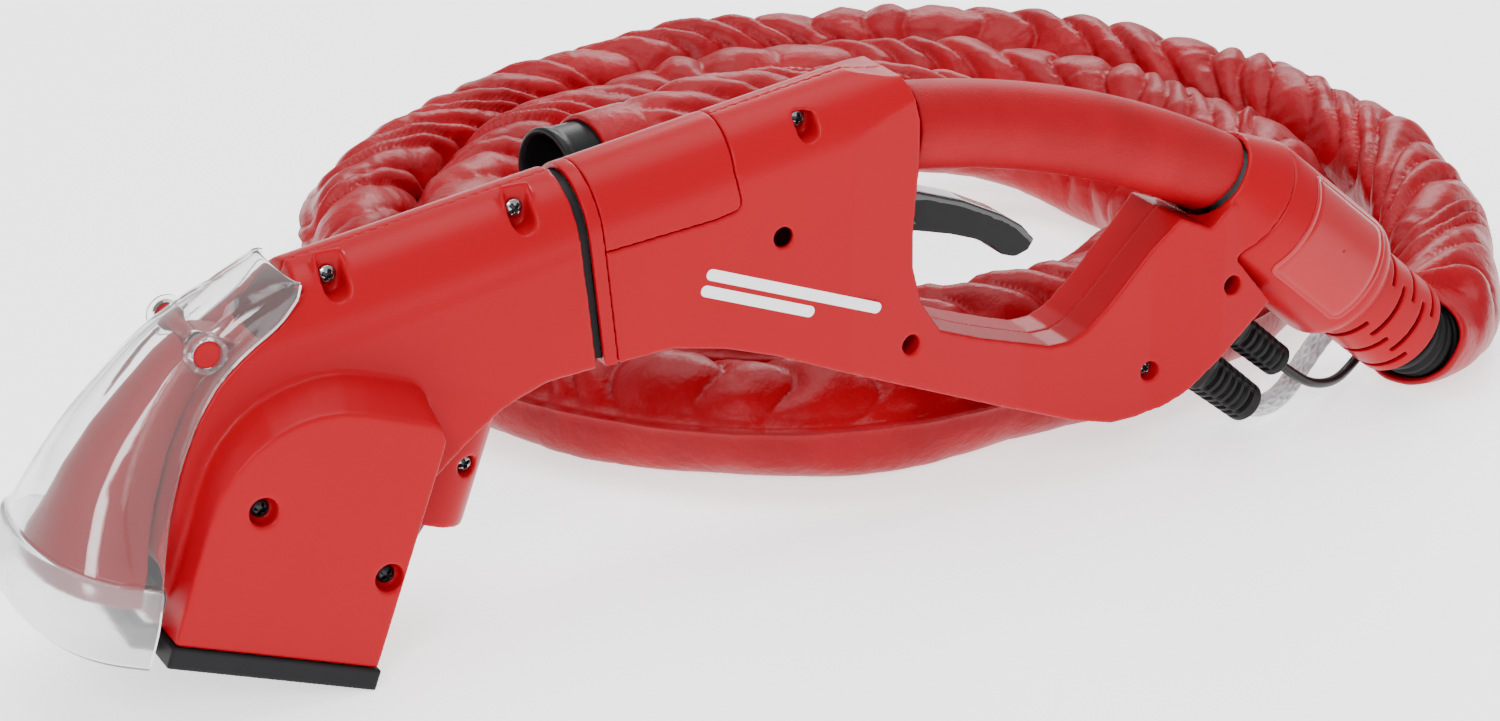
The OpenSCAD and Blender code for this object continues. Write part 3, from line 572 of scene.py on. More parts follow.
def neck_points():
    """Centreline of the elbow, in the row frame."""
    turn = TAIL_AXIS.angle(SLEEVE_DIR)
    aside = (SLEEVE_DIR - math.cos(turn) * TAIL_AXIS).normalized()
    start = on_tail(NECK_STRAIGHT)
    points = [on_tail(s) for s in range(NECK_START, NECK_STRAIGHT, 4)]
    for k in range(9):
        a = turn * k / 8
        points.append(start + ELBOW_R * MM * (math.sin(a) * TAIL_AXIS + (1 - math.cos(a)) * aside))
    points.append(points[-1] + SLEEVE_DIR * 8 * MM)
    return points


def make_neck():
    """Corrugated hose from the cuff round into the sleeve."""
    path = spline(neck_points(), 0.35 * MM)

    def radius(s, a):
        crest = np.clip(0.5 + 0.9 * np.cos(2 * math.pi * s / NECK_PITCH), 0, 1)
        return NECK_ROOT + NECK_CREST * crest

    verts, faces = tube(path, radius, 56)
    obj = mesh_object("corrugated_hose", verts, faces)
    return finish_piece(obj, "tool", "black_rubber", ["hose_neck"])


neck = make_neck()

# routes of the two thin lines, in mm, and their radii
CABLE_ROUTE = [
    (414, 0, 30.5), (421, 0, 24.5), (429, 0.5, 18), (438, 2, 12), (449, 6, 7.5), (461, 12, 5), (473, 19, 5.5),
    (484, 24, 10), (488, 25.5, 13), (490.5, 25.5, 15.5), (497, 27, 20),
]
BRAID_ROUTE = [
    (400, 0, 14), (406, 0, 9), (413, 1, 6.5), (423, 5, 5.5), (436, 13, 6), (449, 22, 9), (463, 30, 14),
    (476, 35, 20), (485, 35, 25), (489, 31, 29), (488, 26, 32), (496, 22, 35),
]
CABLE_R = 2.1
BRAID_R, STRAND_HEIGHT, STRANDS, BRAID_PITCH = 4.15, 0.45, 8, 9


def make_cable():
    """The thin power cable from the upper strain relief to the sleeve's mouth."""
    path = spline([row(p) for p in CABLE_ROUTE], 1.2 * MM)
    verts, faces = tube(path, lambda s, a: CABLE_R * MM + 0 * s, 20)
    obj = mesh_object("power_cord", verts, faces)
    return finish_piece(obj, "tool", "cable", ["power_cable"]), path


def make_braid():
    """Tube in a braided jacket: strands cross as two opposite screws."""
    path = spline([row(p) for p in BRAID_ROUTE], 0.45 * MM)
    turns = 2 * math.pi / (BRAID_PITCH * MM)

    def radius(s, a):
        one = np.sin(STRANDS * a + turns * s)
        two = np.sin(STRANDS * a - turns * s)
        return BRAID_R * MM + STRAND_HEIGHT * MM * np.maximum(one, two)

    verts, faces = tube(path, radius, 96)
    obj = mesh_object("braided_hose", verts, faces)
    return finish_piece(obj, "tool", "white_braid", ["braided_tube"]), path


power_cord, power_path = make_cable()
braid, braid_path = make_braid()


BAND_PROFILE = [
    (-4, 20.5), (-4, 23.2), (-3, 23.8), (0.3, 23.9), (21.4, 23.5), (22.7, 23.1), (23, 22.4), (23, 21.1),
]
# outside of the cuff, its rolled lip, then back down the bore
CUFF_PROFILE = [
    (0.6, 20.6), (24, 20.8), (36, 20.8), (38.2, 20.9), (39.2, 21.6), (41.6, 21.8), (42.7, 21.4), (43, 20.4),
    (42.8, 19.3), (41.8, 18.7), (39, 18.5), (3.4, 18.4), (3.0, 17.6),
]


def make_machine_end():
    """Flat band and black cuff on the sleeve's far end."""
    tip = row(SLEEVE_RISE[-1])
    band = lathe("sleeve_end_cuff", BAND_PROFILE, tip, SLEEVE_OUT, closed=True)
    finish_piece(band, "tool", "red_fabric", ["sleeve_end_band"])
    cuff = lathe("machine_end_cuff", CUFF_PROFILE, tip, SLEEVE_OUT, 96)
    finish_piece(cuff, "tool", "black_plastic", ["machine_cuff"])
    return band, cuff


end_band, end_cuff = make_machine_end()


# ---------- moulded shells ----------
def new_modifier(obj, kind, **settings):
    """Adds a modifier and sets its settings."""
    made = obj.modifiers.new(kind.lower(), kind)
    for key, value in settings.items():
        setattr(made, key, value)
    return made


def cad_copy(node, name):
    """A loose copy of a CAD node's mesh, in its place at rest."""
    source = nodes[node]
    data = source.data.copy()
    data.transform(source.matrix_world)
    obj = bpy.data.objects.new(name, data)
    bpy.context.scene.collection.objects.link(obj)
    return obj


# screw recesses: (x, z, floor's y, width, height above the round)
RECESSES = {
    "head_shell_near": [(3, 145, -9, 8.5, 10), (74, 157, -9, 8.5, 10)],
    "body_shell_near": [(187, 172.5, -10, 8, 6)],
}
LINER, LINER_FLOOR = 1.6, 1.8
# the shells' round top: its radius, and the height of its centre at X = 0, from where it climbs to the rear
TOP_R = 22.5
TOP_CENTRE = 150.5 - 22.8
TOP_CLIMB = math.tan(math.radians(9.2))


def recess_liner(x, z, floor, width, height):
    """A cup round a screw recess, closed at the back, whose rim stays inside the curved top."""
    half = width / 2
    cx, cz = x + 0.8, z - 3
    inner, outer = [], []
    for grow, points in ((0, inner), (LINER, outer)):
        for k in range(17):
            a = math.pi + math.pi * k / 16
            points.append((cx + (half + grow) * math.cos(a), cz + (half + grow) * math.sin(a)))
        points += [(cx + half + grow, cz + height + grow), (cx - half - grow, cz + height + grow)]
    n = len(inner)
    centre = TOP_CENTRE + x * TOP_CLIMB

    def rim(height_at):
        skin = math.sqrt(max(TOP_R ** 2 - max(height_at - centre, 0) ** 2, 0))
        return min(floor - 0.2, -(skin - 1.2))

    rows = [
        [(px, floor, pz) for px, pz in inner], [(px, rim(pz), pz) for px, pz in inner],
        [(px, rim(pz), pz) for px, pz in outer], [(px, floor + LINER_FLOOR, pz) for px, pz in outer],
    ]
    verts = [row(p) for r in rows for p in r]
    return mesh_object("recess_liner", verts, grid_faces(4, n, True), smooth=False)


def join_meshes(obj, others):
    """Adds the other objects' meshes to obj's, and removes them."""
    bm = bmesh.new()
    bm.from_mesh(obj.data)
    for other in others:
        bm.from_mesh(other.data)
        bpy.data.objects.remove(other)
    bm.to_mesh(obj.data)
    bm.free()


# the soft weight of a point grows from the parting plane, in mm; it is set in this many steps
SEAM_FROM, SEAM_TO, WEIGHT_STEPS = 0.4, 3.2, 12
# share of the faces that a finished moulding keeps
KEEP_SHARE = 0.3


def moulded(node, name, body="tool", voxel=0.7, rounds=14, seam=None):
    """A CAD piece with its edges rounded like a moulding's. seam is the weight left at the parting plane."""
    obj = cad_copy(node, name)
    join_meshes(obj, [recess_liner(*recess) for recess in RECESSES.get(node, [])])
    new_modifier(obj, "REMESH", mode="VOXEL", voxel_size=voxel * 1 * MM)
    settle(obj)
    if seam is not None:
        group = obj.vertex_groups.new(name="soft")
        away = np.abs(points_of(obj)[:, 1]) / MM
        weight = seam + (1 - seam) * smooth_step(away, SEAM_FROM, SEAM_TO)
        steps = np.round(weight * WEIGHT_STEPS).astype(int)
        for level in np.unique(steps):
            group.add(np.flatnonzero(steps == level).tolist(), float(level) / WEIGHT_STEPS, "REPLACE")
        new_modifier(obj, "SMOOTH", factor=0.5, iterations=rounds, vertex_group="soft")
    else:
        new_modifier(obj, "SMOOTH", factor=0.5, iterations=rounds)
    settle(obj)
    new_modifier(obj, "DECIMATE", ratio=KEEP_SHARE)
    settle(obj)
    shade_smooth(obj)
    return finish_piece(obj, body, SLOT_OF[node], [node])


def make_mouldings():
    """All the shells and covers that are plain mouldings of their CAD node."""
    moulded("head_shell_near", "head_moulding_near", voxel=0.7, rounds=22, seam=0.1)
    moulded("head_shell_far", "head_moulding_far", voxel=0.8, rounds=12, seam=0.12)
    moulded("body_shell_near", "body_moulding_near", voxel=0.7, rounds=10, seam=0.12)
    moulded("body_shell_far", "body_moulding_far", voxel=0.8, rounds=8, seam=0.12)
    moulded("front_collar", "collar_moulding", voxel=0.5, rounds=3)
    moulded("top_cover", "top_cover_moulding", voxel=0.5, rounds=4)
    moulded("grip_sleeve", "grip_moulding", voxel=0.8, rounds=12)
    moulded("swivel_cuff", "swivel_cuff_moulding", "swivel", voxel=0.4, rounds=4)
    moulded("bumper", "bumper_moulding", voxel=0.6, rounds=4)
    moulded("nozzle_core", "core_moulding", voxel=0.8, rounds=14)


make_mouldings()

# line between the trigger's glossy blade and its finger pad: X and height, in mm
BLADE_X = [199, 242, 262, 280, 290, 296]
BLADE_Z = [126, 127.5, 121.5, 112.5, 106, 101]


def make_trigger():
    """Glossy upper blade over a matt finger pad."""
    obj = moulded("trigger", "trigger_moulding", "trigger", voxel=0.5, rounds=26)
    paint(obj, MATERIALS["black_plastic"], TRIGGER_GLOSS)
    upper = []
    for face in obj.data.polygons:
        edge = np.interp(face.center.x / MM + MID_X, BLADE_X, BLADE_Z)
        upper.append(int(face.center.z / MM > edge))
    obj.data.polygons.foreach_set("material_index", upper)


PLUNGER_X, SPRING_START, SPRING_TOP, SPRING_FOOT = 200, 112.75, 119.2, 112.2
SPRING_TURNS, SPRING_R, WIRE_R = 3, 4.6, 0.48


def make_spring():
    """Return spring of the valve, as a fixed coil of wire."""
    steps = 40 * SPRING_TURNS
    coil = []
    for i in range(steps + 1):
        a = 2 * math.pi * SPRING_TURNS * i / steps
        z = SPRING_START + (SPRING_TOP - SPRING_START) * i / steps
        coil.append(list(row((PLUNGER_X + SPRING_R * math.cos(a), SPRING_R * math.sin(a), z))))
    verts, faces = tube(np.array(coil), lambda s, a: WIRE_R * MM + 0 * s, 12)
    obj = finish_piece(mesh_object("valve_spring_wire", verts, faces), "tool", "steel", ["valve_spring"])
    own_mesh(obj)


make_spring()
make_trigger()


# ---------- clear nozzle cover ----------
# height above the bumper's underside, rear edge, front edge, share of the lip's half width
NOZZLE = np.array([
    (0, -88, -123, 1), (6, -88, -127, 1), (14, -88, -129.5, 0.99), (24, -88, -129, 0.93),
    (36, -88, -127, 0.78), (50, -88, -124.5, 0.66), (66, -87, -119.5, 0.58), (82, -84.5, -112, 0.52),
    (96, -80, -105, 0.48), (108, -72.5, -96.5, 0.46), (119, -63.5, -85.5, 0.45), (129, -59.5, -74, 0.44),
    (135, -59.5, -66, 0.42),
])
LIP_HALF_W = 50
LIP_TOP = 26
LIP_STEP = 1.1
COVER_TOP = 135
COVER_WALL = 2.6
COVER_PIN = (-86.5, 105)
COVER_PIN_HOLE = 5.2
# how far the flange lies below the raised channel, and the heights over which that drop fades out
FLANGE_DROP = 3.6
DROP_FADES = (108, 125)
# the stations are smoothed by a bell of this width, cut off at its reach, on a fine grid; in mm
BELL_WIDTH, BELL_REACH, FINE = 3.5, 12, 0.5
# edge of the raised channel, as a share of the half width, at heights above the lip's edge
CHANNEL_V = [0, 20, 45, 105, 118, 124]
CHANNEL_EDGE = [1.3, 0.98, 0.80, 0.60, 0.52, 0.2]
# profile of the ring round a pin's hole: distance out of the cover's side, radius
RING_PROFILE = [(-3, 5.3), (0.2, 5.25), (0.7, 5.6), (0.9, 6.3), (0.7, 7.0), (0.2, 7.3), (-3, 7.6)]
RING_Y = 21.2


def nozzle_station(v):
    """Rear edge, front edge and half width at heights v, smoothed between the stations."""
    fine = np.arange(-BELL_REACH, COVER_TOP + BELL_REACH + 1, FINE)
    kernel = np.exp(-0.5 * (np.arange(-BELL_REACH, BELL_REACH + 0.1, FINE) / BELL_WIDTH) ** 2)
    kernel /= kernel.sum()
    pad = len(kernel) // 2
    out = []
    for column in (1, 2, 3):
        raw = np.interp(fine, NOZZLE[:, 0], NOZZLE[:, column])
        soft = np.convolve(np.pad(raw, pad, mode="edge"), kernel, "same")[pad:-pad]
        mix = smooth_step(v, 3, 14) * (1 - smooth_step(v, 122, 132))
        out.append(np.interp(v, fine, soft) * mix + np.interp(v, fine, raw) * (1 - mix))
    return out[0], out[1], out[2] * LIP_HALF_W


def channel(v, t):
    """1 on the raised channel down the middle of the cover, 0 on the flange beside and above it."""
    return smooth_step(np.interp(v, CHANNEL_V, CHANNEL_EDGE) - np.abs(t), 0, 0.075)


def nozzle_arc(v, inset, count):
    """Points of the cover's cross-section at height v, from -Y round the front to +Y."""
    rear, front, half = nozzle_station(np.array([v]))
    t = np.linspace(-1, 1, count)
    drop = FLANGE_DROP * (1 - channel(v, t)) * float(1 - smooth_step(np.array(v), *DROP_FADES))
    drop = drop * (1 - 0.7 * smooth_step(np.abs(t), 0.86, 1))
    half = half[0] - inset - 0.5 * drop
    depth = np.maximum(rear[0] - front[0] - inset - drop, 1)
    a = np.sign(t) * np.abs(t) ** 0.8 * math.pi / 2
    u = rear[0] - depth * np.maximum(np.cos(a), 0) ** 0.6
    y = half * np.sign(a) * np.abs(np.sin(a)) ** 0.9
    return [from_head(*place, v) for place in zip(u, y)]


def cover_heights():
    """Heights of the cover's cross-sections: close together at both rolled edges and at the lip's step."""
    step = 1.0
    roll = COVER_WALL / 2
    return np.unique(np.concatenate([
        roll - roll * np.cos(np.linspace(0, math.pi / 2, 6)),
        np.arange(roll + step, COVER_TOP - roll, step),
        [LIP_TOP - 0.7, LIP_TOP, LIP_TOP + 0.7, LIP_TOP + 1.4],
        COVER_TOP - roll + roll * np.sin(np.linspace(0, math.pi / 2, 5)),
    ]))


def cover_shell():
    """The cover's curved wall, open at its rear, as an object without its holes."""
    roll = COVER_WALL / 2
    heights = cover_heights()
    count = 81
    verts, rows = [], len(heights)
    for v in heights:
        edge = min(v, COVER_TOP - v)
        rolled = roll - math.sqrt(max(roll ** 2 - max(roll - edge, 0) ** 2, 0)) if edge < roll else 0.0
        rolled = min(rolled, roll - 0.05)
        step_in = LIP_STEP * float(smooth_step(np.array(v), LIP_TOP - 0.4, LIP_TOP + 1.2))
        outer = nozzle_arc(v, step_in + rolled, count)
        inner = nozzle_arc(v, step_in + COVER_WALL - rolled, count)
        verts += outer + inner[::-1]
    cols = 2 * count
    faces = grid_faces(rows, cols, False)
    for base in (0, (rows - 1) * cols):
        for k in range(count - 1):
            faces.append((base + k, base + k + 1, base + cols - 2 - k, base + cols - 1 - k))
    return mesh_object("clear_nozzle_cover", verts, faces)


def make_nozzle_cover():
    """Clear cover with a frosted lip, a hole for its pin and a ring round each end of the hole."""
    obj = cover_shell()
    hole = [(-60, COVER_PIN_HOLE), (60, COVER_PIN_HOLE)]
    bore = lathe("bore", hole, from_head(COVER_PIN[0], 0, COVER_PIN[1]), (0, 1, 0))
    new_modifier(obj, "BOOLEAN", operation="DIFFERENCE", object=bore, solver="EXACT")
    settle(obj)
    bpy.data.objects.remove(bore)
    shade_smooth(obj)
    obj.data.set_sharp_from_angle(angle=math.radians(50))
    finish_piece(obj, "tool", "clear_plastic", ["nozzle_cover"], [MATERIALS["clear_plastic"], CLEAR_LIP])
    c, s = math.cos(HEAD_TILT), math.sin(HEAD_TILT)
    lip = []
    for face in obj.data.polygons:
        x, z = face.center.x / MM + MID_X, face.center.z / MM
        lip.append(int(z * c + x * s < LIP_TOP + 0.4))
    obj.data.polygons.foreach_set("material_index", lip)
    for side in (-1, 1):
        place = from_head(COVER_PIN[0], side * RING_Y, COVER_PIN[1])
        boss = lathe("cover_ring_boss", RING_PROFILE, place, (0, side, 0), 64, closed=True)
        finish_piece(boss, "tool", "clear_plastic", ["nozzle_cover"])


# half of the pin's profile, from its head inwards: distance from the middle, radius
PIN_HALF = [(20.6, 3.2), (20.9, 4.4), (20.6, 4.9), (16.6, 5), (16.4, 3)]


def make_cover_pin():
    """Cross pin whose two heads sit a little below the cover's rings."""
    profile = [(-s, r) for s, r in PIN_HALF] + PIN_HALF[::-1]
    pin = lathe("cover_cross_pin", profile, from_head(COVER_PIN[0], 0, COVER_PIN[1]), (0, 1, 0), 48)
    finish_piece(pin, "tool", "red_plastic", ["cover_pin"])


make_nozzle_cover()
make_cover_pin()


# ---------- screws ----------
SCREW_HEAD_R, SCREW_HEAD_H, SHANK_R = 3.3, 2.4, 1.5
# the head's dome, and the cross cut into it: its depth, half an arm's width and its reach
DOME = 1.25
CROSS_DEPTH, CROSS_ARM, CROSS_REACH = 1.7, 0.85, 2.35
# each screw of a group is turned a little further than the last
FIRST_TURN, NEXT_TURN = 0.4, 1.1


def screw_mesh(seat, axis, length, turn):
    """Pan head with a cross recess. seat is the top of the head, axis points into the work."""
    axis = Vector(axis)
    across = axis.orthogonal().normalized()
    third = axis.cross(across)
    sectors, rings = ((96, 26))
    verts, in_cross = [], []
    radii = np.linspace(0.05, SCREW_HEAD_R, rings)
    angles = np.linspace(0, 2 * math.pi, sectors, endpoint=False)
    for r in radii:
        for a in angles:
            x, z = r * math.cos(a + turn), r * math.sin(a + turn)
            arm = min(abs(x), abs(z))
            reach = max(abs(x), abs(z))
            depth = DOME * (r / SCREW_HEAD_R) ** 2.4
            slot = smooth_step(np.array(CROSS_ARM - arm), 0, 0.3)
            slot = float(slot * smooth_step(np.array(CROSS_REACH - reach), 0, 0.5))
            depth += CROSS_DEPTH * slot
            in_cross.append(slot > 0.5)
            verts.append(seat + (axis * depth + across * r * math.cos(a) + third * r * math.sin(a)) * MM)
    for r, depth in ((SCREW_HEAD_R, SCREW_HEAD_H), (SHANK_R, SCREW_HEAD_H), (SHANK_R, length)):
        for a in angles:
            verts.append(seat + (axis * depth + across * r * math.cos(a) + third * r * math.sin(a)) * MM)
    faces = grid_faces(rings + 3, sectors, True)
    in_cross += [False] * (3 * sectors)
    dark = [all(in_cross[k] for k in face) for face in faces]
    return verts, faces, dark


def make_screws(name, node, places, length, head=MATERIALS["screw_steel"]):
    """A group of screws whose tops are at places, with dark cross recesses."""
    verts, faces, recessed = [], [], []
    for i, place in enumerate(places):
        more, quads, dark = screw_mesh(place, (0, 1, 0), length, FIRST_TURN + NEXT_TURN * i)
        faces += [[k + len(verts) for k in quad] for quad in quads]
        verts += more
        recessed += dark
    obj = mesh_object(name, verts, faces)
    obj.data.set_sharp_from_angle(angle=math.radians(55))
    finish_piece(obj, "tool", "screw_steel", [node], [head, DARK_STEEL])
    obj.data.polygons.foreach_set("material_index", [int(d) for d in recessed])


HEAD_SCREWS = [(3, -11.6, 145), (74, -11.6, 157), (50.5, -13.6, 64)]
HOUSING_SCREWS = [(-61, -41.6, 60), (-7, -41.6, 42)]
BODY_SCREWS = [(232.5, -12.6, 77), (345.5, -12.6, 42), (380, -12.6, 74), (187, -12.6, 172.5)]
make_screws("head_pan_screws", "head_screws", [row(p) for p in HEAD_SCREWS], 14)
make_screws("housing_pan_screws", "bump_screws", [from_head(*p) for p in HOUSING_SCREWS], 48, DARK_STEEL)
make_screws("body_pan_screws", "body_screws", [row(p) for p in BODY_SCREWS], 14)


# ---------- bristles ----------
TUFT_ROWS, TUFT_COLS, TUFT_R = 6, 9, 1.75
TUFT_START, TUFT_PITCH = (-71, -34), (11.6, 8.5)
FILAMENTS = 15
FILAMENT_SIDES = 5
SPLAY, STRAY = 0.5, 0.12
# rings of a filament: height, share of its lean, radius; only its tip's radius, as that height is drawn
FILAMENT_ROOT, FILAMENT_MIDDLE, TIP_R = (9.5, 0, 0.24), (4, 0.4, 0.23), 0.13


def filament(i, j):
    """Points of one tapered filament of tuft i, j, which leans outwards towards its tip."""
    r, a = TUFT_R * math.sqrt(random.random()), random.uniform(0, 2 * math.pi)
    u = TUFT_START[0] + TUFT_PITCH[0] * i + r * math.cos(a)
    y = TUFT_START[1] + TUFT_PITCH[1] * j + r * math.sin(a)
    lean_u = SPLAY * math.cos(a) * r / TUFT_R + random.gauss(0, STRAY)
    lean_y = SPLAY * math.sin(a) * r / TUFT_R
    tip = random.uniform(-2, -1.2)
    points = []
    for v, share, width in (FILAMENT_ROOT, FILAMENT_MIDDLE, (tip, 1, TIP_R)):
        for k in range(FILAMENT_SIDES):
            b = 2 * math.pi * k / FILAMENT_SIDES
            at_u, at_y = u + lean_u * share, y + lean_y * share
            points.append(from_head(at_u + width * math.cos(b), at_y + width * math.sin(b), v))
    return points


def make_bristles():
    """Tufts of fine filaments in rows across the brush block."""
    verts, faces = [], []
    quads = grid_faces(3, FILAMENT_SIDES, True)
    for i in range(TUFT_ROWS):
        for j in range(TUFT_COLS):
            for _ in range(FILAMENTS):
                faces += [[len(verts) + f for f in quad] for quad in quads]
                verts += filament(i, j)
    finish_piece(mesh_object("bristle_tufts", verts, faces), "brush", "bristle", ["bristles"])


make_bristles()


# ---------- tail ----------
BARREL_PROFILE = [
    (-76, 19.6), (-76, 21.4), (-70.6, 21.5), (-70.2, 26.4), (-69.6, 27.5), (-68.6, 28), (-8, 28),
    (-5.6, 27.7), (-3.6, 26.8), (-1.8, 25.4), (-0.6, 24.6), (0, 23.7), (-0.1, 22), (-0.6, 21.65),
    (-4, 21.6), (-4, 25.6), (-67, 25.6), (-67, 19.6),
]


def make_barrel():
    """Hollow barrel between the body and the swivel cuff."""
    obj = lathe("rear_barrel_moulding", BARREL_PROFILE, row(TAIL_ORIGIN), TAIL_AXIS, 128, closed=True)
    obj.data.set_sharp_from_angle(angle=math.radians(50))
    finish_piece(obj, "tool", "red_plastic", ["rear_barrel"])


# the label: its length and width, its corners, and then where it lies on the barrel and how far it is turned
LABEL_LENGTH, LABEL_ARC, LABEL_CORNER = 46, 51.4, 5
LABEL_R, LABEL_S, LABEL_AT = 28.05, -33, math.radians(12.5)
LABEL_TOP = 0.38
# rows of the rim and its thin frame line: distance in from the edge, height above the barrel
LABEL_ROWS = [(0, 0.02), (0.05, 0.3), (0.3, 0.38), (1.9, 0.38), (2.1, 0.24), (2.5, 0.24), (2.7, 0.38)]


def label_outline():
    """Rounded rectangle, as (corner's centre or a point between two, direction outwards) in mm."""
    outline = []
    for quarter, (sx, sy) in enumerate(((1, 1), (-1, 1), (-1, -1), (1, -1))):
        cx, cy = sx * (LABEL_LENGTH / 2 - LABEL_CORNER), sy * (LABEL_ARC / 2 - LABEL_CORNER)
        for k in range(13):
            a = math.pi / 2 * (quarter + k / 12)
            outline.append((cx, cy, math.cos(a), math.sin(a)))
        nx, ny = math.cos(a), math.sin(a)
        next_x, next_y = (-cx, cy) if quarter % 2 == 0 else (cx, -cy)
        for k in range(1, 24):
            share = k / 24
            outline.append((cx + (next_x - cx) * share, cy + (next_y - cy) * share, nx, ny))
    return outline


def make_label():
    """Blank film panel with rounded corners and a thin frame line, wrapped round the barrel."""
    rings = []
    for inset, height in LABEL_ROWS:
        out = LABEL_CORNER - inset
        rings.append([(cx + nx * out, cy + ny * out, height) for cx, cy, nx, ny in label_outline()])
    last = rings[-1]
    for share in np.linspace(0.9, 0.02, 10):
        rings.append([(x * share, y * share, LABEL_TOP) for x, y, _ in last])
    across = Vector((0, -1, 0))
    up = across.cross(TAIL_AXIS)
    verts = []
    for ring in rings:
        for x, y, height in ring:
            a = y / LABEL_R + LABEL_AT
            out = across * math.cos(a) + up * math.sin(a)
            verts.append(row(TAIL_ORIGIN) + TAIL_AXIS * (x + LABEL_S) * MM + out * (LABEL_R + height) * MM)
    obj = mesh_object("blank_label", verts, grid_faces(len(rings), len(rings[0]), False))
    finish_piece(obj, "tool", "label", ["label_plate"])


make_barrel()
make_label()

RIB_PITCH, RIB_DEPTH, RELIEF_FOOT = 4.4, 1.7, 11


def make_relief(name, node, place, length, root, tip, neck):
    """Cable sleeve with a squarish foot and ribs whose gaps are staggered round it."""
    origin = row((place[0], 0, place[1]))
    stops = np.arange(-4, length, 0.35)
    path = np.array([list(origin + TAIL_AXIS * s * MM) for s in stops])
    foot = RELIEF_FOOT
    stations = [1.6, 2.4, foot, foot + 2, length - 1.2, length]
    radii = [root - 0.8, root, root, root - 1.1, tip, tip - 1]

    def radius(s, a):
        s = s / MM - 4
        envelope = np.interp(s, stations, radii)
        square = 1 / (np.abs(np.cos(a)) ** 5 + np.abs(np.sin(a)) ** 5) ** 0.2
        squareness = 1 - smooth_step(s, foot, foot + 4)
        envelope = envelope * (1 + (square / 1.16 - 1) * squareness)
        quarter = np.floor((a + math.pi / 4) / (math.pi / 2)) % 2
        phase = ((s - foot - 2.5) / RIB_PITCH + 0.5 * quarter) % 1
        gap = smooth_step(np.abs(phase - 0.5), 0.16, 0.3)
        edge = np.abs(((a + math.pi / 4) % (math.pi / 2)) - math.pi / 4)
        bridge = smooth_step(math.pi / 4 - edge, 0.03, 0.14)
        ribbed = smooth_step(s, foot + 2, foot + 3) * (1 - smooth_step(s, length - 5, length - 4))
        cut = (1 - gap) * bridge * ribbed * RIB_DEPTH
        return np.where(s < 1.6, neck, envelope - cut) * MM

    verts, faces = tube(path, radius, 112)
    obj = mesh_object(name, verts, faces)
    obj.data.set_sharp_from_angle(angle=math.radians(60))
    finish_piece(obj, "tool", "black_rubber", [node])


make_relief("lower_strain_relief", "relief_lower", (371, 38.5), 45, 10.6, 8.6, 7.9)
make_relief("upper_strain_relief", "relief_upper", (388, 52.5), 42, 8.6, 7.0, 5.9)

# ---------- printed mark on the near side ----------
# two plain stripes: (start along the line, end, foot, head), in mm
MARK_STRIPES = [(4, 82, 5.8, 10.2), (4, 54, -0.6, 3.8)]
# where the line starts and the two directions that the stripes are drawn in, as X and Z in mm
MARK_START, MARK_ALONG, MARK_RISE = np.array([137.6, 117.2]), (86.4, -32.6), (5, 12.6)
# corner radius of a stripe, and Y of its inner and outer face
STRIPE_CORNER = 2.1
STRIPE_FACES = (-22.35, -22.62)


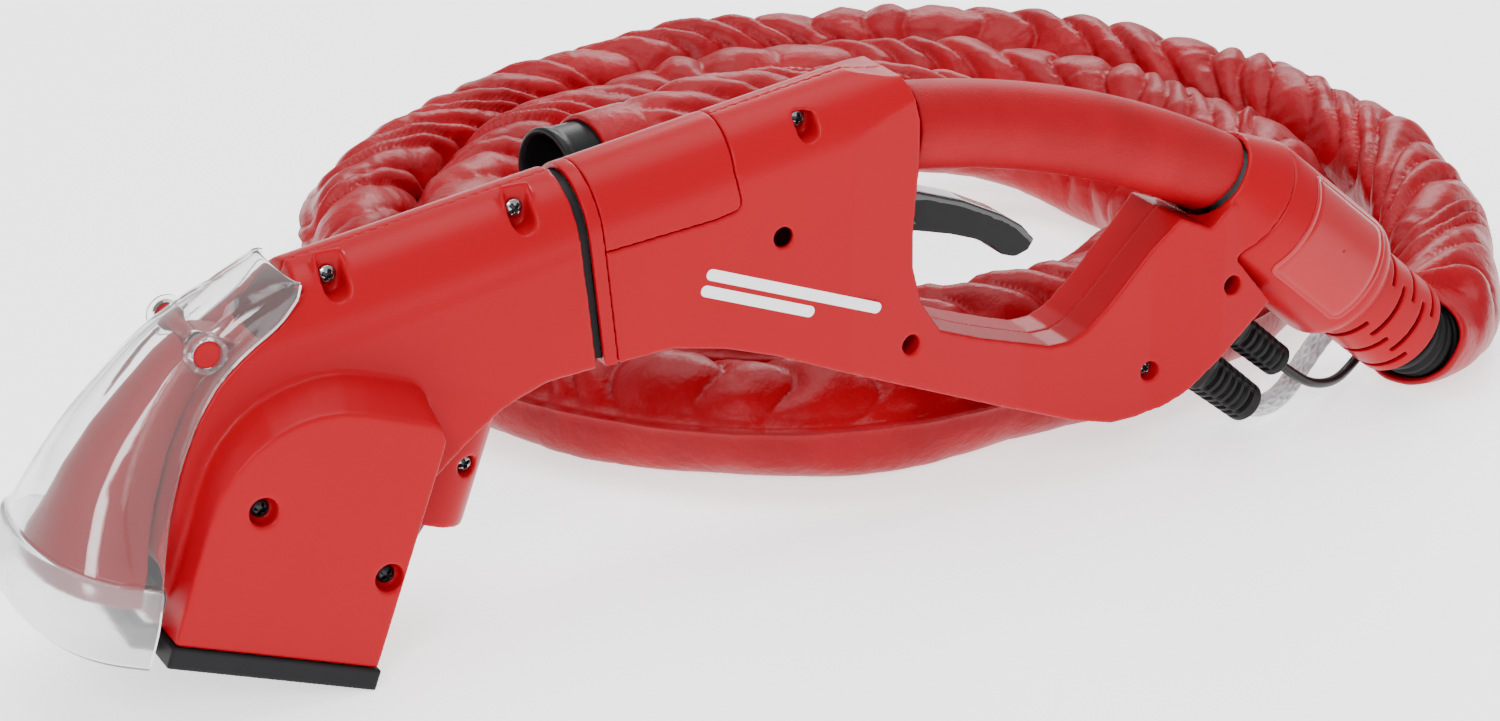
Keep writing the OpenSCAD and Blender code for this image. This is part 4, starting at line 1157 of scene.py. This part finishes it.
def make_mark():
    """Plain white stripes, in place of the photograph's printed mark."""
    along = np.array(MARK_ALONG) / math.hypot(*MARK_ALONG)
    rise = np.array(MARK_RISE) / math.hypot(*MARK_RISE)
    outlines = []
    for a0, a1, b0, b1 in MARK_STRIPES:
        corner = STRIPE_CORNER
        points = []
        for cx, cy, quarter in ((a1, b1, 0), (a0, b1, 1), (a0, b0, 2), (a1, b0, 3)):
            sx, sy = (-1 if cx == a1 else 1), (-1 if cy == b1 else 1)
            for k in range(7):
                t = math.pi / 2 * (quarter + k / 6)
                points.append((cx + corner * (sx + math.cos(t)), cy + corner * (sy + math.sin(t))))
        outlines.append(points)
    verts, faces = [], []
    for points in outlines:
        base, n = len(verts), len(points)
        for y in STRIPE_FACES:
            for a, b in points:
                x, z = MARK_START + along * a + rise * b
                verts.append(row((x, y, z)))
        faces.append([base + n + k for k in range(n)])
        faces.append([base + k for k in range(n)][::-1])
        faces += [(base + k, base + (k + 1) % n, base + n + (k + 1) % n, base + n + k) for k in range(n)]
    obj = mesh_object("stripe_mark", verts, faces, smooth=False)
    finish_piece(obj, "tool", None, mats=[WHITE_INK])


make_mark()


# ---------- light and floor ----------
FLOOR_GLOW, WORLD_GLOW = 1.4, 0.9
# name, place, the point that it shines at, its sides in metres, watts
LIGHTS = [
    ("top", (0.1, 0.3, 1.9), (0.05, 0.1, 0), (1.8, 1.2), 30),
    ("key", (-1.3, -1.5, 1.5), (0, 0, 0.08), (0.7, 0.7), 34),
    ("rim", (1.2, 1.6, 1.1), (0.05, 0.1, 0.1), (1.2, 0.6), 20),
]


def area_light(name, place, target, size, watts):
    data = bpy.data.lights.new(name, "AREA")
    data.shape = "RECTANGLE"
    data.size, data.size_y = size
    data.energy = watts
    light = bpy.data.objects.new(name, data)
    light.location = place
    light.rotation_euler = (Vector(target) - Vector(place)).to_track_quat("-Z", "Y").to_euler()
    bpy.context.scene.collection.objects.link(light)


def make_studio():
    """A pale floor and surroundings, with three soft lights."""
    bm = bmesh.new()
    bmesh.ops.create_grid(bm, x_segments=2, y_segments=2, size=9)
    data = bpy.data.meshes.new("floor")
    bm.to_mesh(data)
    bm.free()
    floor = bpy.data.objects.new("floor", data)
    bpy.context.scene.collection.objects.link(floor)
    paint(floor, material(
        "pale_floor", (0.9, 0.9, 0.905), 0.6, blotch=(2, (0.89, 0.89, 0.895), 0.5),
        Emission_Color=(1, 1, 1, 1), Emission_Strength=FLOOR_GLOW, Specular_IOR_Level=0.2,
    ))
    world = bpy.data.worlds.new("studio")
    bpy.context.scene.world = world
    world.use_nodes = True
    background = next(n for n in world.node_tree.nodes if n.type == "BACKGROUND")
    background.inputs["Color"].default_value = (1, 1, 1, 1)
    background.inputs["Strength"].default_value = WORLD_GLOW
    for light in LIGHTS:
        area_light(*light)


make_studio()
